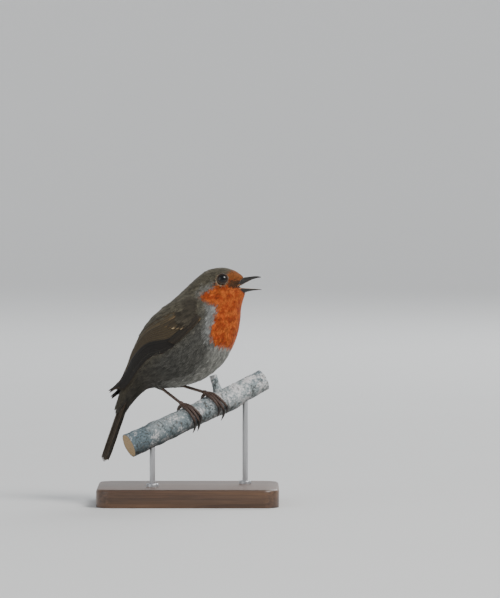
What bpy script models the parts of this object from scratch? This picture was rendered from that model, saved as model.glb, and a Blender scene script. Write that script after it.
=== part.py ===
"""A European robin (Erithacus rubecula) singing on a cut length of branch, on a display stand.

A still, life-size museum model. Everything is designed in millimetres and scaled to metres
where a mesh is made. The bird has its own frame: forward along its heading, out to its left,
and up from the stand's underside; BIRD_YAW turns that frame a little to its right. The stand
and the perch are placed in the model's own frame, whose origin is the middle of the stand's
underside: +X the way the bird faces, +Y to its left, +Z up.

The outlines are those of the feathered bird, out to the tips of the coat. The solids meet
with a gap of GAP and never overlap.
"""

import math
from dataclasses import dataclass

import bmesh
import bpy
import numpy as np

MM = 0.001
GAP = 0.3
SIDES = {"right": -1, "left": 1}

# ---- Stand and perch ----
BASE_SIZE = (100.0, 76.0, 10.0)
BASE_CORNER = 9.0
BASE_CHAMFER = 1.2
ROD_RADIUS = 1.5
ROD_STATIONS = {"stand_rod_low": -31.0, "stand_rod_high": 30.0}
PERCH_CENTRE = np.array([6.5, 0.7, 50.2])
PERCH_PLAN_ANGLE = math.radians(25.0)
PERCH_SLOPE = math.radians(22.9)
PERCH_REACH = (-46.0, 42.0)
PERCH_RADIUS = 6.2
PERCH_TAPER = 0.009
PERCH_BOW = 0.7
PERCH_RIPPLES = ((0.12, 0.23, 2.0), (0.08, 0.61, 0.0))  # height, waves along, waves round
STUB_STATION = 14.6
STUB_TURN = math.radians(-20.0)
STUB_LENGTH = 9.0
STUB_RADIUS = 2.05
STUB_FLARE = 1.9
STUB_FLARE_LENGTH = 2.6
STUB_FOOT = 3.0
STUB_LEAN = math.radians(13.0)

# ---- Bird ----
BIRD_YAW = math.radians(-8.0)
ROUNDNESS = 2.2
EYE_RADIUS = 3.9
EYE_PLACE = (19.95, 123.5)
EYE_SUNK = 2.8
FACE_WIDTH = 5.2
FACE_SLOPE = 1.2
FACE_BLEND = 6
SLANT_SPARE = 1.25
WING_PROUD = 0.9
WING_BULGE = 1.6
WING_BLEND = 1.5
WING_PIECE_GAPS = (0.016, 0.012)
WING_ROOM_SHARES = (0.05, 0.03)
TAIL_ROOT = np.array([-29.2, 77.0])
TAIL_TIP = np.array([-48.0, 23.3])
TAIL_WIDTHS = (9.5, 15.5)
TAIL_THICKNESS = (3.2, 2.0)
TAIL_ROOF = 1.1
TAIL_EDGE_THINNING = 0.45
TAIL_NOTCH = 1.6
TAIL_CORNER = (0.85, 8.0)
TOE_RADII = (0.95, 0.62)
TOE_ARCH = 0.35
CLAW_RADIUS = 0.55
CLAW_TAPER = 0.62
CLAW_BEND = 0.55
TARSUS_RADII = (0.95, 1.15)
ANKLE_LIFT = 2.3
FOOT_BALL = 1.5
THIGH_RINGS = ((0.0, 1.8), (2.5, 3.0), (5.5, 4.2), (9.0, 5.0))  # distance above the cuff, radius

# ---- Colours (linear) ----
COLOURS = {
    "olive": (0.075, 0.070, 0.048),
    "orange": (0.42, 0.095, 0.018),
    "brown": (0.050, 0.042, 0.028),
    "horn": (0.018, 0.015, 0.012),
    "eye": (0.006, 0.005, 0.004),
    "mouth": (0.45, 0.17, 0.06),
    "leg": (0.055, 0.032, 0.022),
    "bark": (0.22, 0.27, 0.29),
    "base": (0.16, 0.085, 0.040),
    "rod": (0.55, 0.55, 0.56),
}


@dataclass(frozen=True)
class Section:
    """One slanted section through the feathered body, seen from the side.

    Attributes:
        dorsal: Forward and up of the point on the back line.
        ventral: Forward and up of the point on the belly line.
        half_width: Half the body's width there.
        crown: Share of the section's height that lies above its widest line.
    """

    dorsal: tuple
    ventral: tuple
    half_width: float
    crown: float


BODY = (
    Section((31.0, 124.9), (32.2, 116.4), 2.3, 0.50),  # bill base
    Section((29.0, 126.6), (31.5, 114.9), 3.7, 0.48),  # forehead
    Section((25.2, 128.8), (30.5, 112.0), 6.1, 0.44),  # lores
    Section((18.9, 130.2), (29.4, 107.3), 8.6, 0.43),  # eye
    Section((10.2, 128.5), (29.0, 101.2), 10.6, 0.45),  # nape
    Section((1.6, 121.6), (27.4, 93.2), 13.6, 0.47),  # shoulder
    Section((-7.8, 112.9), (23.9, 84.6), 17.2, 0.48),  # breast
    Section((-17.5, 105.2), (18.1, 75.9), 19.0, 0.49),  # back
    Section((-25.5, 94.9), (6.7, 67.6), 18.6, 0.50),  # belly
    Section((-30.6, 83.8), (-9.4, 63.6), 15.2, 0.50),  # vent
    Section((-33.4, 75.4), (-21.1, 63.4), 11.0, 0.50),  # rump
    Section((-35.8, 67.8), (-27.4, 59.0), 7.8, 0.50),  # tail coverts
    Section((-38.2, 60.6), (-32.6, 53.2), 5.8, 0.50),
    Section((-40.2, 54.6), (-36.2, 47.6), 4.0, 0.50),  # ends of the tail coverts
)
HEAD_SPAN = (0.0, 3.85)
NECK_SPAN = (3.85, 4.55)
TRUNK_SPAN = (4.55, 10.2)
COVERTS_SPAN = (10.2, 13.0)

# Upper edge and lower edge of the folded wing: forward, up, out from the bird's midline.
WING = (
    ((11.6, 110.5, 10.6), (11.4, 105.4, 12.0)),  # bend of the wing
    ((3.0, 113.6, 10.0), (3.6, 98.6, 15.4)),
    ((-9.6, 107.2, 8.6), (-8.6, 86.9, 17.6)),
    ((-21.2, 98.6, 6.0), (-19.6, 81.2, 15.6)),
    ((-29.4, 87.0, 4.2), (-27.4, 73.6, 11.8)),
    ((-35.4, 73.0, 3.8), (-34.8, 64.2, 8.4)),
    ((-43.2, 62.2, 4.8), (-42.8, 60.9, 5.4)),  # wing tip
)
LEFT_WING_DROOP = np.array([-0.6, -3.8])
WING_THICKNESS = (2.8, 0.8)
COVERT_EDGE = (2.25, 1.05)
PANEL_EDGE = ((1.3, 0.84), (5.15, 0.12))

# Bill sections: forward and up of the ridge, then of the cutting edge, and the half width.
UPPER_BILL = (
    ((31.0, 124.75), (26.0, 119.55), 4.3),
    ((32.5, 124.95), (29.3, 120.5), 3.4),
    ((34.5, 125.25), (32.4, 122.05), 2.45),
    ((36.7, 125.5), (35.3, 123.5), 1.6),
    ((38.9, 125.5), (38.1, 124.35), 0.9),
    ((40.7, 125.15), (40.4, 124.75), 0.28),
)
LOWER_BILL = (
    ((31.7, 116.35), (26.0, 119.0), 4.2),
    ((33.0, 116.9), (29.8, 118.85), 3.25),
    ((35.3, 117.4), (33.8, 118.65), 2.15),
    ((38.0, 117.75), (37.4, 118.5), 1.2),
    ((40.9, 117.95), (40.8, 118.3), 0.28),
)
GAPE = (25.0, 119.25)
CULMEN_BASE = (31.0, 125.4)
CHIN = (31.8, 115.75)
MOUTH_ROOM = (60.0, 106.0, 134.0, 14.0)  # how far ahead, down, up and out the cut-away reaches
BILL_SHAPE = ((0.0, 1.0), (0.42, 0.86), (0.80, 0.45), (1.0, 0.0))
PALATE_DEPTH = 0.14
TROUGH_DEPTH = 0.40
TONGUE = ((28.2, 118.45, 1.1), (31.5, 118.35, 1.0), (34.2, 118.3, 0.7), (35.8, 118.25, 0.4))
TONGUE_THICKNESS = 0.5
TONGUE_KEEL = 0.5


@dataclass(frozen=True)
class Swelling:
    """A place where the branch is thicker: its middle, spread, height, side and bias to it."""

    station: float
    spread: float
    height: float
    turn: float
    bias: float


PERCH_SWELLINGS = (
    Swelling(19.0, 7.5, 0.7, 2.6, 0.71),  # the fork
    Swelling(-29.0, 3.2, 0.35, 0.9, 1.0),  # an old leaf scar
)


@dataclass(frozen=True)
class Toe:
    """A toe wrapped on the perch, from the ankle to its claw's tip.

    Attributes:
        turn_start: Angle round the perch where the toe leaves the ankle, from its top.
        turn_end: Angle round the perch where the toe's pad ends.
        shift_start: How far along the perch the toe starts from the ankle.
        shift_end: How far along the perch the toe ends from the ankle.
        claw_drop: Claw's reach along the perch, sideways and downward from the pad's end.
    """

    turn_start: float
    turn_end: float
    shift_start: float
    shift_end: float
    claw_drop: tuple


@dataclass(frozen=True)
class Leg:
    """One leg: where its ankle stands along the perch, its heel, and its four toes."""

    ankle_station: float
    heel: tuple
    bare_length: float
    toes: dict


LEGS = {
    "right": Leg(
        -8.0,
        (-23.0, -5.2, 70.4),
        15.2,
        {
            "2": Toe(14, 90, 1.7, 4.6, (0.2, -3.4)),
            "3": Toe(18, 108, 0.8, 2.8, (-0.9, -4.4)),
            "4": Toe(14, 104, -0.7, 0.4, (-1.5, -4.6)),
            "1": Toe(-16, -92, -0.8, -1.8, (-0.8, -4.0)),
        },
    ),
    "left": Leg(
        7.55,
        (-12.65, 9.9, 67.2),
        15.6,
        {
            "2": Toe(14, 92, -0.6, 1.2, (-1.2, -4.2)),
            "3": Toe(18, 112, 0.6, 3.4, (-1.8, -4.4)),
            "4": Toe(14, 104, 1.7, 5.6, (-0.4, -3.2)),
            "1": Toe(-16, -92, -0.9, -2.2, (-0.8, -4.0)),
        },
    ),
}


# ---- Frames and curves ----
def to_model(points, moved=(0.0, 0.0)):
    """Turns points of forward, out to the left and up into the model's frame."""
    points = np.asarray(points, float)
    cos_yaw, sin_yaw = math.cos(BIRD_YAW), math.sin(BIRD_YAW)
    forward, left, up = points[..., 0], points[..., 1], points[..., 2]
    x = forward * cos_yaw - left * sin_yaw + moved[0]
    y = forward * sin_yaw + left * cos_yaw + moved[1]
    return np.stack([x, y, up], axis=-1)


def along(values, at):
    """Reads a smooth curve through evenly numbered values, by Catmull and Rom's rule."""
    values = np.asarray(values, float)
    last = len(values) - 1
    step = int(min(max(math.floor(at), 0), last - 1))
    part = at - step
    before = values[step - 1] if step else 2 * values[0] - values[1]
    after = values[step + 2] if step + 2 <= last else 2 * values[last] - values[last - 1]
    first, second = values[step], values[step + 1]
    return 0.5 * (
        2 * first
        + (second - before) * part
        + (2 * before - 5 * first + 4 * second - after) * part**2
        + (3 * first - before - 3 * second + after) * part**3
    )


BODY_VALUES = [(*part.dorsal, *part.ventral, part.half_width, part.crown) for part in BODY]
WING_VALUES = [(*upper, *lower) for upper, lower in WING]


def power(value, exponent):
    """Raises a value's size to a power and keeps its sign."""
    return math.copysign(abs(value) ** exponent, value)


def face_distance(forward, up):
    """How far a point of the side view lies behind the feather line of the open mouth."""
    distances = []
    for (end_f, end_u), turn in ((CULMEN_BASE, 1.0), (CHIN, -1.0)):
        line_f, line_u = end_f - GAPE[0], end_u - GAPE[1]
        away = line_f * (up - GAPE[1]) - line_u * (forward - GAPE[0])
        distances.append(turn * away / math.hypot(line_f, line_u))
    return max(*distances, 0.0)


def narrowed(out, forward, up):
    """Draws a point in towards the midline where the face tapers to the bill."""
    limit = FACE_WIDTH + FACE_SLOPE * face_distance(forward, up)
    return out * (1.0 + abs(out / limit) ** FACE_BLEND) ** (-1.0 / FACE_BLEND)


def body_point(at, turn, grow=0.0):
    """A point of the feathered body's surface, in the bird's frame.

    Args:
        at: Which section, counted from the bill's base.
        turn: Angle round the section, from the back line towards the bird's left.
        grow: How far outside the surface the point lies.
    """
    back_f, back_u, belly_f, belly_u, width, crown = along(BODY_VALUES, at)
    height = math.hypot(back_f - belly_f, back_u - belly_u)
    axis_f, axis_u = (back_f - belly_f) / height, (back_u - belly_u) / height
    reach = (crown if math.cos(turn) > 0 else 1.0 - crown) * height + grow
    rise = power(math.cos(turn), 2 / ROUNDNESS) * reach - crown * height
    out = power(math.sin(turn), 2 / ROUNDNESS) * (width + grow)
    forward, up = back_f + axis_f * rise, back_u + axis_u * rise
    return (forward, narrowed(out, forward, up), up)


def body_side(forward, up):
    """Half the body's width at a point of its side view, or 0 outside its outline."""

    def ahead(at):
        back_f, back_u, belly_f, belly_u = along(BODY_VALUES, at)[:4]
        return (back_f - belly_f) * (up - belly_u) - (back_u - belly_u) * (forward - belly_f)

    low, high = 0.0, len(BODY) - 1.0
    if ahead(low) * ahead(high) > 0:
        return 0.0
    for _ in range(30):
        middle = 0.5 * (low + high)
        if ahead(low) * ahead(middle) > 0:
            low = middle
        else:
            high = middle
    back_f, back_u, belly_f, belly_u, width, crown = along(BODY_VALUES, low)
    height = math.hypot(back_f - belly_f, back_u - belly_u)
    below = ((back_f - forward) * (back_f - belly_f) + (back_u - up) * (back_u - belly_u)) / height
    reach = crown * height if below < crown * height else (1.0 - crown) * height
    share = abs(below - crown * height) / reach
    out = width * max(0.0, 1.0 - share**ROUNDNESS) ** (1 / ROUNDNESS)
    return narrowed(out, forward, up)


def wing_surface(at, down, side):
    """A point of the folded wing's outer face.

    Args:
        at: Which wing section, counted from the bend of the wing.
        down: Share of the way from the wing's upper edge to its lower edge.
        side: -1 for the right wing and 1 for the left.
    """
    values = along(WING_VALUES, at)
    forward, up, out = values[:3] + (values[3:] - values[:3]) * down
    cover = body_side(forward, up) + WING_PROUD
    out += WING_BULGE * math.sin(math.pi * min(max(down, 0.0), 1.0))
    out = 0.5 * (out + cover + math.hypot(out - cover, WING_BLEND))
    if side > 0:
        share = max(at, 0.0) / (len(WING) - 1)
        forward += LEFT_WING_DROOP[0] * share**2
        up += LEFT_WING_DROOP[1] * share**2
    return np.array([forward, out * side, up])


def wing_normal(at, down, side):
    """The outward direction of the folded wing's outer face."""
    step = 0.02
    lengthwise = wing_surface(at + step, down, side) - wing_surface(at - step, down, side)
    across = wing_surface(at, down + step, side) - wing_surface(at, down - step, side)
    normal = np.cross(lengthwise, across)
    normal /= np.linalg.norm(normal)
    return normal if normal[1] * side > 0 else -normal


def perch_frame():
    """The perch's direction, its upward normal, and its normal towards the bird's right."""
    flat = math.cos(PERCH_SLOPE)
    axis = np.array(
        [
            flat * math.cos(PERCH_PLAN_ANGLE),
            flat * math.sin(PERCH_PLAN_ANGLE),
            math.sin(PERCH_SLOPE),
        ]
    )
    near = np.array([math.sin(PERCH_PLAN_ANGLE), -math.cos(PERCH_PLAN_ANGLE), 0.0])
    top = np.cross(near, axis)
    return axis, top, near


PERCH_AXIS, PERCH_TOP, PERCH_NEAR = perch_frame()


def perch_radius(station, turn):
    """The branch's radius, with its taper, its swellings and its gentle ripples."""
    radius = PERCH_RADIUS - PERCH_TAPER * station
    for place in PERCH_SWELLINGS:
        rise = place.height * math.exp(-(((station - place.station) / place.spread) ** 2))
        radius += rise * (1.0 + place.bias * math.cos(turn - place.turn))
    for height, waves, turns in PERCH_RIPPLES:
        radius += height * math.sin(waves * station + turns * turn)
    return radius


def perch_core(station):
    """A point of the branch's centre line, which bows gently under its own weight."""
    middle = 0.5 * (PERCH_REACH[0] + PERCH_REACH[1])
    half = 0.5 * (PERCH_REACH[1] - PERCH_REACH[0])
    bow = PERCH_BOW * ((station - middle) / half) ** 2
    return PERCH_CENTRE + PERCH_AXIS * station + PERCH_TOP * bow


def perch_point(station, turn, lift=0.0):
    """A point at a height over the bark, at an angle from the top towards the bird's right."""
    outward = PERCH_TOP * math.cos(turn) + PERCH_NEAR * math.sin(turn)
    return perch_core(station) + outward * (perch_radius(station, turn) + lift)


# ---- Meshes ----
MATERIALS = {}


def material(colour, roughness=0.8, metallic=0.0):
    """Returns the one material of a named colour."""
    if colour not in MATERIALS:
        made = bpy.data.materials.new(colour)
        made.use_nodes = True
        shader = made.node_tree.nodes["Principled BSDF"]
        shader.inputs["Base Color"].default_value = (*COLOURS[colour], 1.0)
        shader.inputs["Roughness"].default_value = roughness
        shader.inputs["Metallic"].default_value = metallic
        MATERIALS[colour] = made
    return MATERIALS[colour]


def new_object(name, mesh_data, finish):
    """Makes a smooth-shaded object from a bmesh whose points are in millimetres."""
    bmesh.ops.scale(mesh_data, vec=(MM, MM, MM), verts=mesh_data.verts)
    bmesh.ops.recalc_face_normals(mesh_data, faces=mesh_data.faces)
    mesh = bpy.data.meshes.new(name)
    mesh_data.to_mesh(mesh)
    mesh_data.free()
    mesh.materials.append(finish)
    mesh.shade_smooth()
    mesh.set_sharp_from_angle(angle=math.radians(40))
    made = bpy.data.objects.new(name, mesh)
    bpy.context.scene.collection.objects.link(made)
    return made


def loft(name, rings, finish):
    """Joins closed rings of points into one body with flat ends."""
    data = bmesh.new()
    rows = [[data.verts.new(point) for point in ring] for ring in rings]
    count = len(rows[0])
    for row, following in zip(rows, rows[1:]):
        for index in range(count):
            nearby = (index + 1) % count
            data.faces.new((row[index], row[nearby], following[nearby], following[index]))
    data.faces.new(rows[0])
    data.faces.new(rows[-1][::-1])
    return new_object(name, data, finish)


def plate(name, outer, inner, finish):
    """Joins an outer and an inner grid of points into one closed plate."""
    data = bmesh.new()
    sheets = [[[data.verts.new(point) for point in row] for row in grid] for grid in (outer, inner)]
    rows, columns = len(outer), len(outer[0])
    for sheet in sheets:
        for i in range(rows - 1):
            for j in range(columns - 1):
                quad = (sheet[i][j], sheet[i + 1][j], sheet[i + 1][j + 1], sheet[i][j + 1])
                data.faces.new(quad)
    front, back = sheets
    rim = [(i, 0) for i in range(rows - 1)]
    rim += [(rows - 1, j) for j in range(columns - 1)]
    rim += [(i, columns - 1) for i in range(rows - 1, 0, -1)]
    rim += [(0, j) for j in range(columns - 1, 0, -1)]
    for (i, j), (k, m) in zip(rim, rim[1:] + rim[:1]):
        data.faces.new((front[i][j], front[k][m], back[k][m], back[i][j]))
    return new_object(name, data, finish)


def tube_rings(path, radii, count=8):
    """Rings of points round a path, kept square to it."""
    path = np.asarray(path, float)
    rings = []
    guide = np.array([0.0, 0.0, 1.0])
    for index, (point, radius) in enumerate(zip(path, radii)):
        ahead = path[min(index + 1, len(path) - 1)] - path[max(index - 1, 0)]
        ahead /= np.linalg.norm(ahead)
        if abs(ahead @ guide) > 0.95:
            guide = np.array([0.0, 1.0, 0.0])
        side = np.cross(ahead, guide)
        side /= np.linalg.norm(side)
        guide = np.cross(side, ahead)
        turns = [2 * math.pi * step / count for step in range(count)]
        rings.append([point + radius * (side * math.cos(a) + guide * math.sin(a)) for a in turns])
    return rings


def tube(name, path, radii, finish, count=8):
    """Makes a closed round tube along a path, with one radius for each of its points."""
    return loft(name, tube_rings(path, radii, count), finish)


def combine(made, tool, operation="DIFFERENCE"):
    """Cuts an object with a hidden tool, or joins the tool to it."""
    tool.hide_render = True
    tool.display_type = "WIRE"
    boolean = made.modifiers.new(tool.name, "BOOLEAN")
    boolean.operation = operation
    boolean.solver = "EXACT"
    boolean.object = tool


# ---- Body ----
def body_length(name, span, finish, grow=0.0, rings=8, count=28):
    """Makes one length of the body between two sections."""
    turns = [2 * math.pi * step / count for step in range(count)]
    stations = np.linspace(*span, rings)
    shape = [[to_model(body_point(at, turn, grow)) for turn in turns] for at in stations]
    return loft(name, shape, finish)


def parted(span, first=False, last=False):
    """Draws a span's ends in by half the gap, so that neighbours don't touch."""
    middle = 0.5 * (span[0] + span[1])
    shortest = min(
        math.dist(body_point(middle - 0.5, turn), body_point(middle + 0.5, turn))
        for turn in (0.0, math.pi)
    )
    inset = 0.5 * GAP / shortest * SLANT_SPARE
    return (span[0] + (0.0 if first else inset), span[1] - (0.0 if last else inset))


def mouth_cutter():
    """A wedge across the head that opens it for the bill, from the gape to the feather line."""
    ahead, low, high, wide = MOUTH_ROOM
    outline = (GAPE, CULMEN_BASE, (CULMEN_BASE[0] + 3, high), (ahead, high), (ahead, low))
    outline += ((CHIN[0] + 2, low), CHIN)
    rings = [[to_model((f, out, u)) for f, u in outline] for out in (-wide, wide)]
    return loft("mouth_cutter", rings, material("horn"))


def eye_centre(side):
    """The middle of an eyeball, sunk into the side of the head."""
    forward, up = EYE_PLACE
    return to_model((forward, side * (body_side(forward, up) - EYE_SUNK), up))


def ball(name, centre, radius, finish, segments=16, rings=9):
    """Makes a round ball."""
    data = bmesh.new()
    bmesh.ops.create_uvsphere(data, u_segments=segments, v_segments=rings, radius=radius)
    bmesh.ops.translate(data, vec=centre, verts=data.verts)
    return new_object(name, data, finish)


def make_head():
    """Makes the head, with its sockets and open gape, and the two eyes."""
    head = body_length("head", parted(HEAD_SPAN, first=True), material("orange"), rings=14)
    combine(head, mouth_cutter())
    for side_name, side in SIDES.items():
        centre = eye_centre(side)
        socket = ball(f"socket_{side_name}", centre, EYE_RADIUS + GAP, material("eye"))
        combine(head, socket)
        ball(f"eye_{side_name}", centre, EYE_RADIUS, material("eye", 0.1))


def bill_half(name, sections, hollow, up_sign):
    """Makes one half of the bill from its ridge and its cutting edges.

    Args:
        name: The piece's name.
        sections: Ridge point, edge point and half width for each section.
        hollow: Share of a section's height that its inner face is hollowed by.
        up_sign: 1 where the ridge is above the edge and -1 where it is below.
    """
    rings = []
    for ridge, edge, half_width in sections:
        ridge, edge = np.array(ridge), np.array(edge)
        outline = [(out * half_width, rise) for out, rise in BILL_SHAPE]
        outline += [(0.0, hollow)]
        outline += [(-out, rise) for out, rise in outline[3:0:-1]]
        ring = []
        for out, rise in outline:
            forward, up = edge + (ridge - edge) * rise
            ring.append(to_model((forward, out * up_sign, up)))
        rings.append(ring)
    return loft(name, rings, material("horn", 0.4))


def tongue_blade(name, grow=0.0):
    """Makes the flat tongue, or a larger copy of it to cut with."""
    rings = []
    for index, (forward, up, half_width) in enumerate(TONGUE):
        forward += grow * (2 * index / (len(TONGUE) - 1) - 1)
        low, high = up - TONGUE_THICKNESS / 2 - grow, up + TONGUE_THICKNESS / 2 + grow
        wide, narrow = half_width + grow, TONGUE_KEEL * half_width + grow
        corners = ((wide, high), (wide, up), (narrow, low))
        corners += ((-narrow, low), (-wide, up), (-wide, high))
        rings.append([to_model((forward, out, height)) for out, height in corners])
    return loft(name, rings, material("mouth", 0.5))


def make_bill():
    """Makes the two halves of the open bill and the tongue that lies in the lower one."""
    bill_half("bill_upper", UPPER_BILL, PALATE_DEPTH, 1)
    lower = bill_half("bill_lower", LOWER_BILL, TROUGH_DEPTH, -1)
    combine(lower, tongue_blade("tongue_room", GAP))
    tongue_blade("tongue")


def make_trunk():
    """Makes the neck, the trunk and the tail coverts, with room for the wings and the tail."""
    body_length("neck", parted(NECK_SPAN), material("olive"), rings=5)
    trunk = body_length("trunk", parted(TRUNK_SPAN), material("olive"), rings=15)
    coverts = body_length("tail_coverts", parted(COVERTS_SPAN, last=True), material("olive"), rings=7)
    for side_name, side in SIDES.items():
        cutter = wing_piece(f"wing_room_{side_name}", side, whole_wing, "brown", GAP, (22, 7))
        combine(trunk, cutter)
        combine(coverts, cutter)
    combine(coverts, tail_blade("tail_room", GAP))
    combine(trunk, bpy.data.objects["tail_room"])


# ---- Wings ----
def covert_edge(down):
    """The section at which the greater coverts end, at a share of the way down the wing."""
    return COVERT_EDGE[0] + (COVERT_EDGE[1] - COVERT_EDGE[0]) * down


def panel_edge(at):
    """How far down the wing the folded secondaries reach at a wing section."""
    (start, low), (end, high) = PANEL_EDGE
    return low + (high - low) * (at - start) / (end - start)


def whole_wing(along_share, down_share):
    """Section and share down for the whole folded wing."""
    return along_share * (len(WING) - 1), down_share


def wing_coverts(along_share, down_share):
    """Section and share down for the shoulder and the coverts."""
    return along_share * (covert_edge(down_share) - WING_PIECE_GAPS[0]), down_share


def wing_secondaries(along_share, down_share):
    """Section and share down for the panel of secondaries and tertials."""
    at, down = 2.0, 0.4
    for _ in range(12):
        at = covert_edge(down) + WING_PIECE_GAPS[0]
        at += (PANEL_EDGE[1][0] - at) * along_share
        down = down_share * (panel_edge(at) - WING_PIECE_GAPS[1])
    return at, down


def wing_primaries(along_share, down_share):
    """Section and share down for the stack of primaries, out to the wing's tip."""
    at, down = 2.0, 0.9
    for _ in range(12):
        start = covert_edge(down) + WING_PIECE_GAPS[0]
        at = start + (len(WING) - 1 - start) * along_share
        edge = max(panel_edge(min(at, PANEL_EDGE[1][0])), 0.0) + WING_PIECE_GAPS[1]
        edge *= 1.0 - max(at - PANEL_EDGE[1][0], 0.0) / (len(WING) - 1 - PANEL_EDGE[1][0])
        down = edge + (1.0 - edge) * down_share
    return at, down


def wing_piece(name, side, layout, colour, grow=0.0, grid=(12, 5)):
    """Makes one piece of a folded wing as a curved plate.

    Args:
        name: The piece's name.
        side: -1 for the right wing and 1 for the left.
        layout: Turns shares along and down the piece into a wing section and a share down.
        colour: Name of the piece's colour.
        grow: How much larger than the real piece it is made, on each face.
        grid: Number of points along and down.
    """
    outer, inner = [], []
    for along_share in np.linspace(0.0, 1.0, grid[0]):
        outer_row, inner_row = [], []
        for down_share in np.linspace(0.0, 1.0, grid[1]):
            at, down = layout(along_share, down_share)
            if grow:
                at += (2 * along_share - 1.0) * WING_ROOM_SHARES[0]
                down += (2 * down_share - 1.0) * WING_ROOM_SHARES[1]
            point, normal = wing_surface(at, down, side), wing_normal(at, down, side)
            share = min(max(at / (len(WING) - 1), 0.0), 1.0)
            thick = WING_THICKNESS[0] + (WING_THICKNESS[1] - WING_THICKNESS[0]) * share
            outer_row.append(to_model(point + normal * grow))
            inner_row.append(to_model(point - normal * (thick + grow)))
        outer.append(outer_row)
        inner.append(inner_row)
    return plate(name, outer, inner, material(colour))


def make_wings():
    """Makes both folded wings, each in three pieces."""
    for side_name, side in SIDES.items():
        wing_piece(f"wing_coverts_{side_name}", side, wing_coverts, "brown", grid=(9, 7))
        wing_piece(f"wing_secondaries_{side_name}", side, wing_secondaries, "brown", grid=(10, 5))
        wing_piece(f"wing_primaries_{side_name}", side, wing_primaries, "brown", grid=(13, 5))


# ---- Tail ----
def tail_blade(name, grow=0.0):
    """Makes the closed tail: a shallow roof of feathers with a notched end."""
    lengthwise = (TAIL_TIP - TAIL_ROOT) / np.linalg.norm(TAIL_TIP - TAIL_ROOT)
    dorsal = np.array([lengthwise[1], -lengthwise[0]])
    length = np.linalg.norm(TAIL_TIP - TAIL_ROOT)
    outer, inner = [], []
    for share in np.linspace(0.0, 1.0, 9):
        half = 0.5 * (TAIL_WIDTHS[0] + (TAIL_WIDTHS[1] - TAIL_WIDTHS[0]) * share) + grow
        thick = TAIL_THICKNESS[0] + (TAIL_THICKNESS[1] - TAIL_THICKNESS[0]) * share
        outer_row, inner_row = [], []
        for across in np.linspace(-1.0, 1.0, 7):
            corner = max(abs(across) - TAIL_CORNER[0], 0.0) * TAIL_CORNER[1]
            end = TAIL_NOTCH * (abs(across) - 1.0) * (1.0 - corner)
            reach = share * (length + end) + grow * (2 * share - 1)
            centre = TAIL_ROOT + lengthwise * reach
            roof = TAIL_ROOF * (1.0 - across**2) - 0.4 * TAIL_ROOF
            edge = 0.5 * thick * (1.0 - TAIL_EDGE_THINNING * across**2) + grow
            for row, lift in ((outer_row, roof + edge), (inner_row, roof - edge)):
                forward, up = centre + dorsal * lift
                row.append(to_model((forward, across * half, up)))
        outer.append(outer_row)
        inner.append(inner_row)
    return plate(name, outer, inner, material("brown"))


# ---- Legs and feet ----
def ankle(leg):
    """The middle of the joint between the shank and the toes."""
    return perch_point(leg.ankle_station, 0.0, ANKLE_LIFT)


def toe_path(leg, toe, radius, steps):
    """The centre line of a toe, from the ankle over the bark to the end of its last pad."""
    path = [ankle(leg)]
    for share in np.linspace(0.0, 1.0, steps):
        turn = math.radians(toe.turn_start + (toe.turn_end - toe.turn_start) * share)
        shift = toe.shift_start + (toe.shift_end - toe.shift_start) * share
        lift = radius + GAP + TOE_ARCH * (1.0 - share)
        path.append(perch_point(leg.ankle_station + shift, turn, lift))
    return path


def make_foot(side_name, leg):
    """Makes a foot of four toes joined at the ankle, and its four claws."""
    foot = ball(f"foot_{side_name}", ankle(leg), FOOT_BALL, material("leg", 0.6), 10, 6)
    for number, toe in leg.toes.items():
        path = toe_path(leg, toe, TOE_RADII[0], 7)
        radii = np.linspace(*TOE_RADII, len(path))
        pad = tube(f"toe_{number}_{side_name}", path, radii, material("leg"), 6)
        combine(foot, pad, "UNION")
        heading = path[-1] - path[-2]
        heading /= np.linalg.norm(heading)
        start = path[-1] + heading * GAP
        drift, drop = toe.claw_drop
        end = path[-1] + PERCH_AXIS * drift + np.array([0.0, 0.0, drop])
        steps = np.linspace(0.0, 1.0, 5)
        bend = start + heading * CLAW_BEND * abs(drop)
        claw = [start * (1 - s) ** 2 + bend * 2 * s * (1 - s) + end * s**2 for s in steps]
        sizes = CLAW_RADIUS * (1.0 - CLAW_TAPER * steps)
        tube(f"claw_{number}_{side_name}", claw, sizes, material("horn", 0.4), 6)


def make_legs():
    """Makes each leg: the feathered end of the thigh, the bare shank, the foot and its claws."""
    trunk_room = body_length("trunk_room", TRUNK_SPAN, material("olive"), GAP, 15)
    for side_name, leg in LEGS.items():
        foot = ankle(leg)
        rise = np.array(leg.heel) - foot
        rise /= np.linalg.norm(rise)
        cuff = foot + rise * leg.bare_length
        path = [cuff + rise * distance for distance, _ in THIGH_RINGS]
        girth = [radius for _, radius in THIGH_RINGS]
        thigh = tube(f"thigh_{side_name}", path, girth, material("olive"), 16)
        combine(thigh, trunk_room)
        low, high = foot + rise * (FOOT_BALL + GAP), cuff - rise * GAP
        shank = [low + (high - low) * share for share in np.linspace(0.0, 1.0, 5)]
        radii = (TARSUS_RADII[1], *[TARSUS_RADII[0]] * 3, TARSUS_RADII[1])
        combine(tube(f"tarsus_{side_name}", shank, radii, material("leg"), 10), trunk_room)
        make_foot(side_name, leg)


# ---- Perch and stand ----
def perch_tube(name, grow=0.0, rings=21, count=16):
    """Makes the cut length of branch, or a larger copy of it to cut with."""
    turns = [2 * math.pi * step / count for step in range(count)]
    stations = np.linspace(*PERCH_REACH, rings)
    shape = [[perch_point(at, turn, grow) for turn in turns] for at in stations]
    return loft(name, shape, material("bark"))


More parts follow.
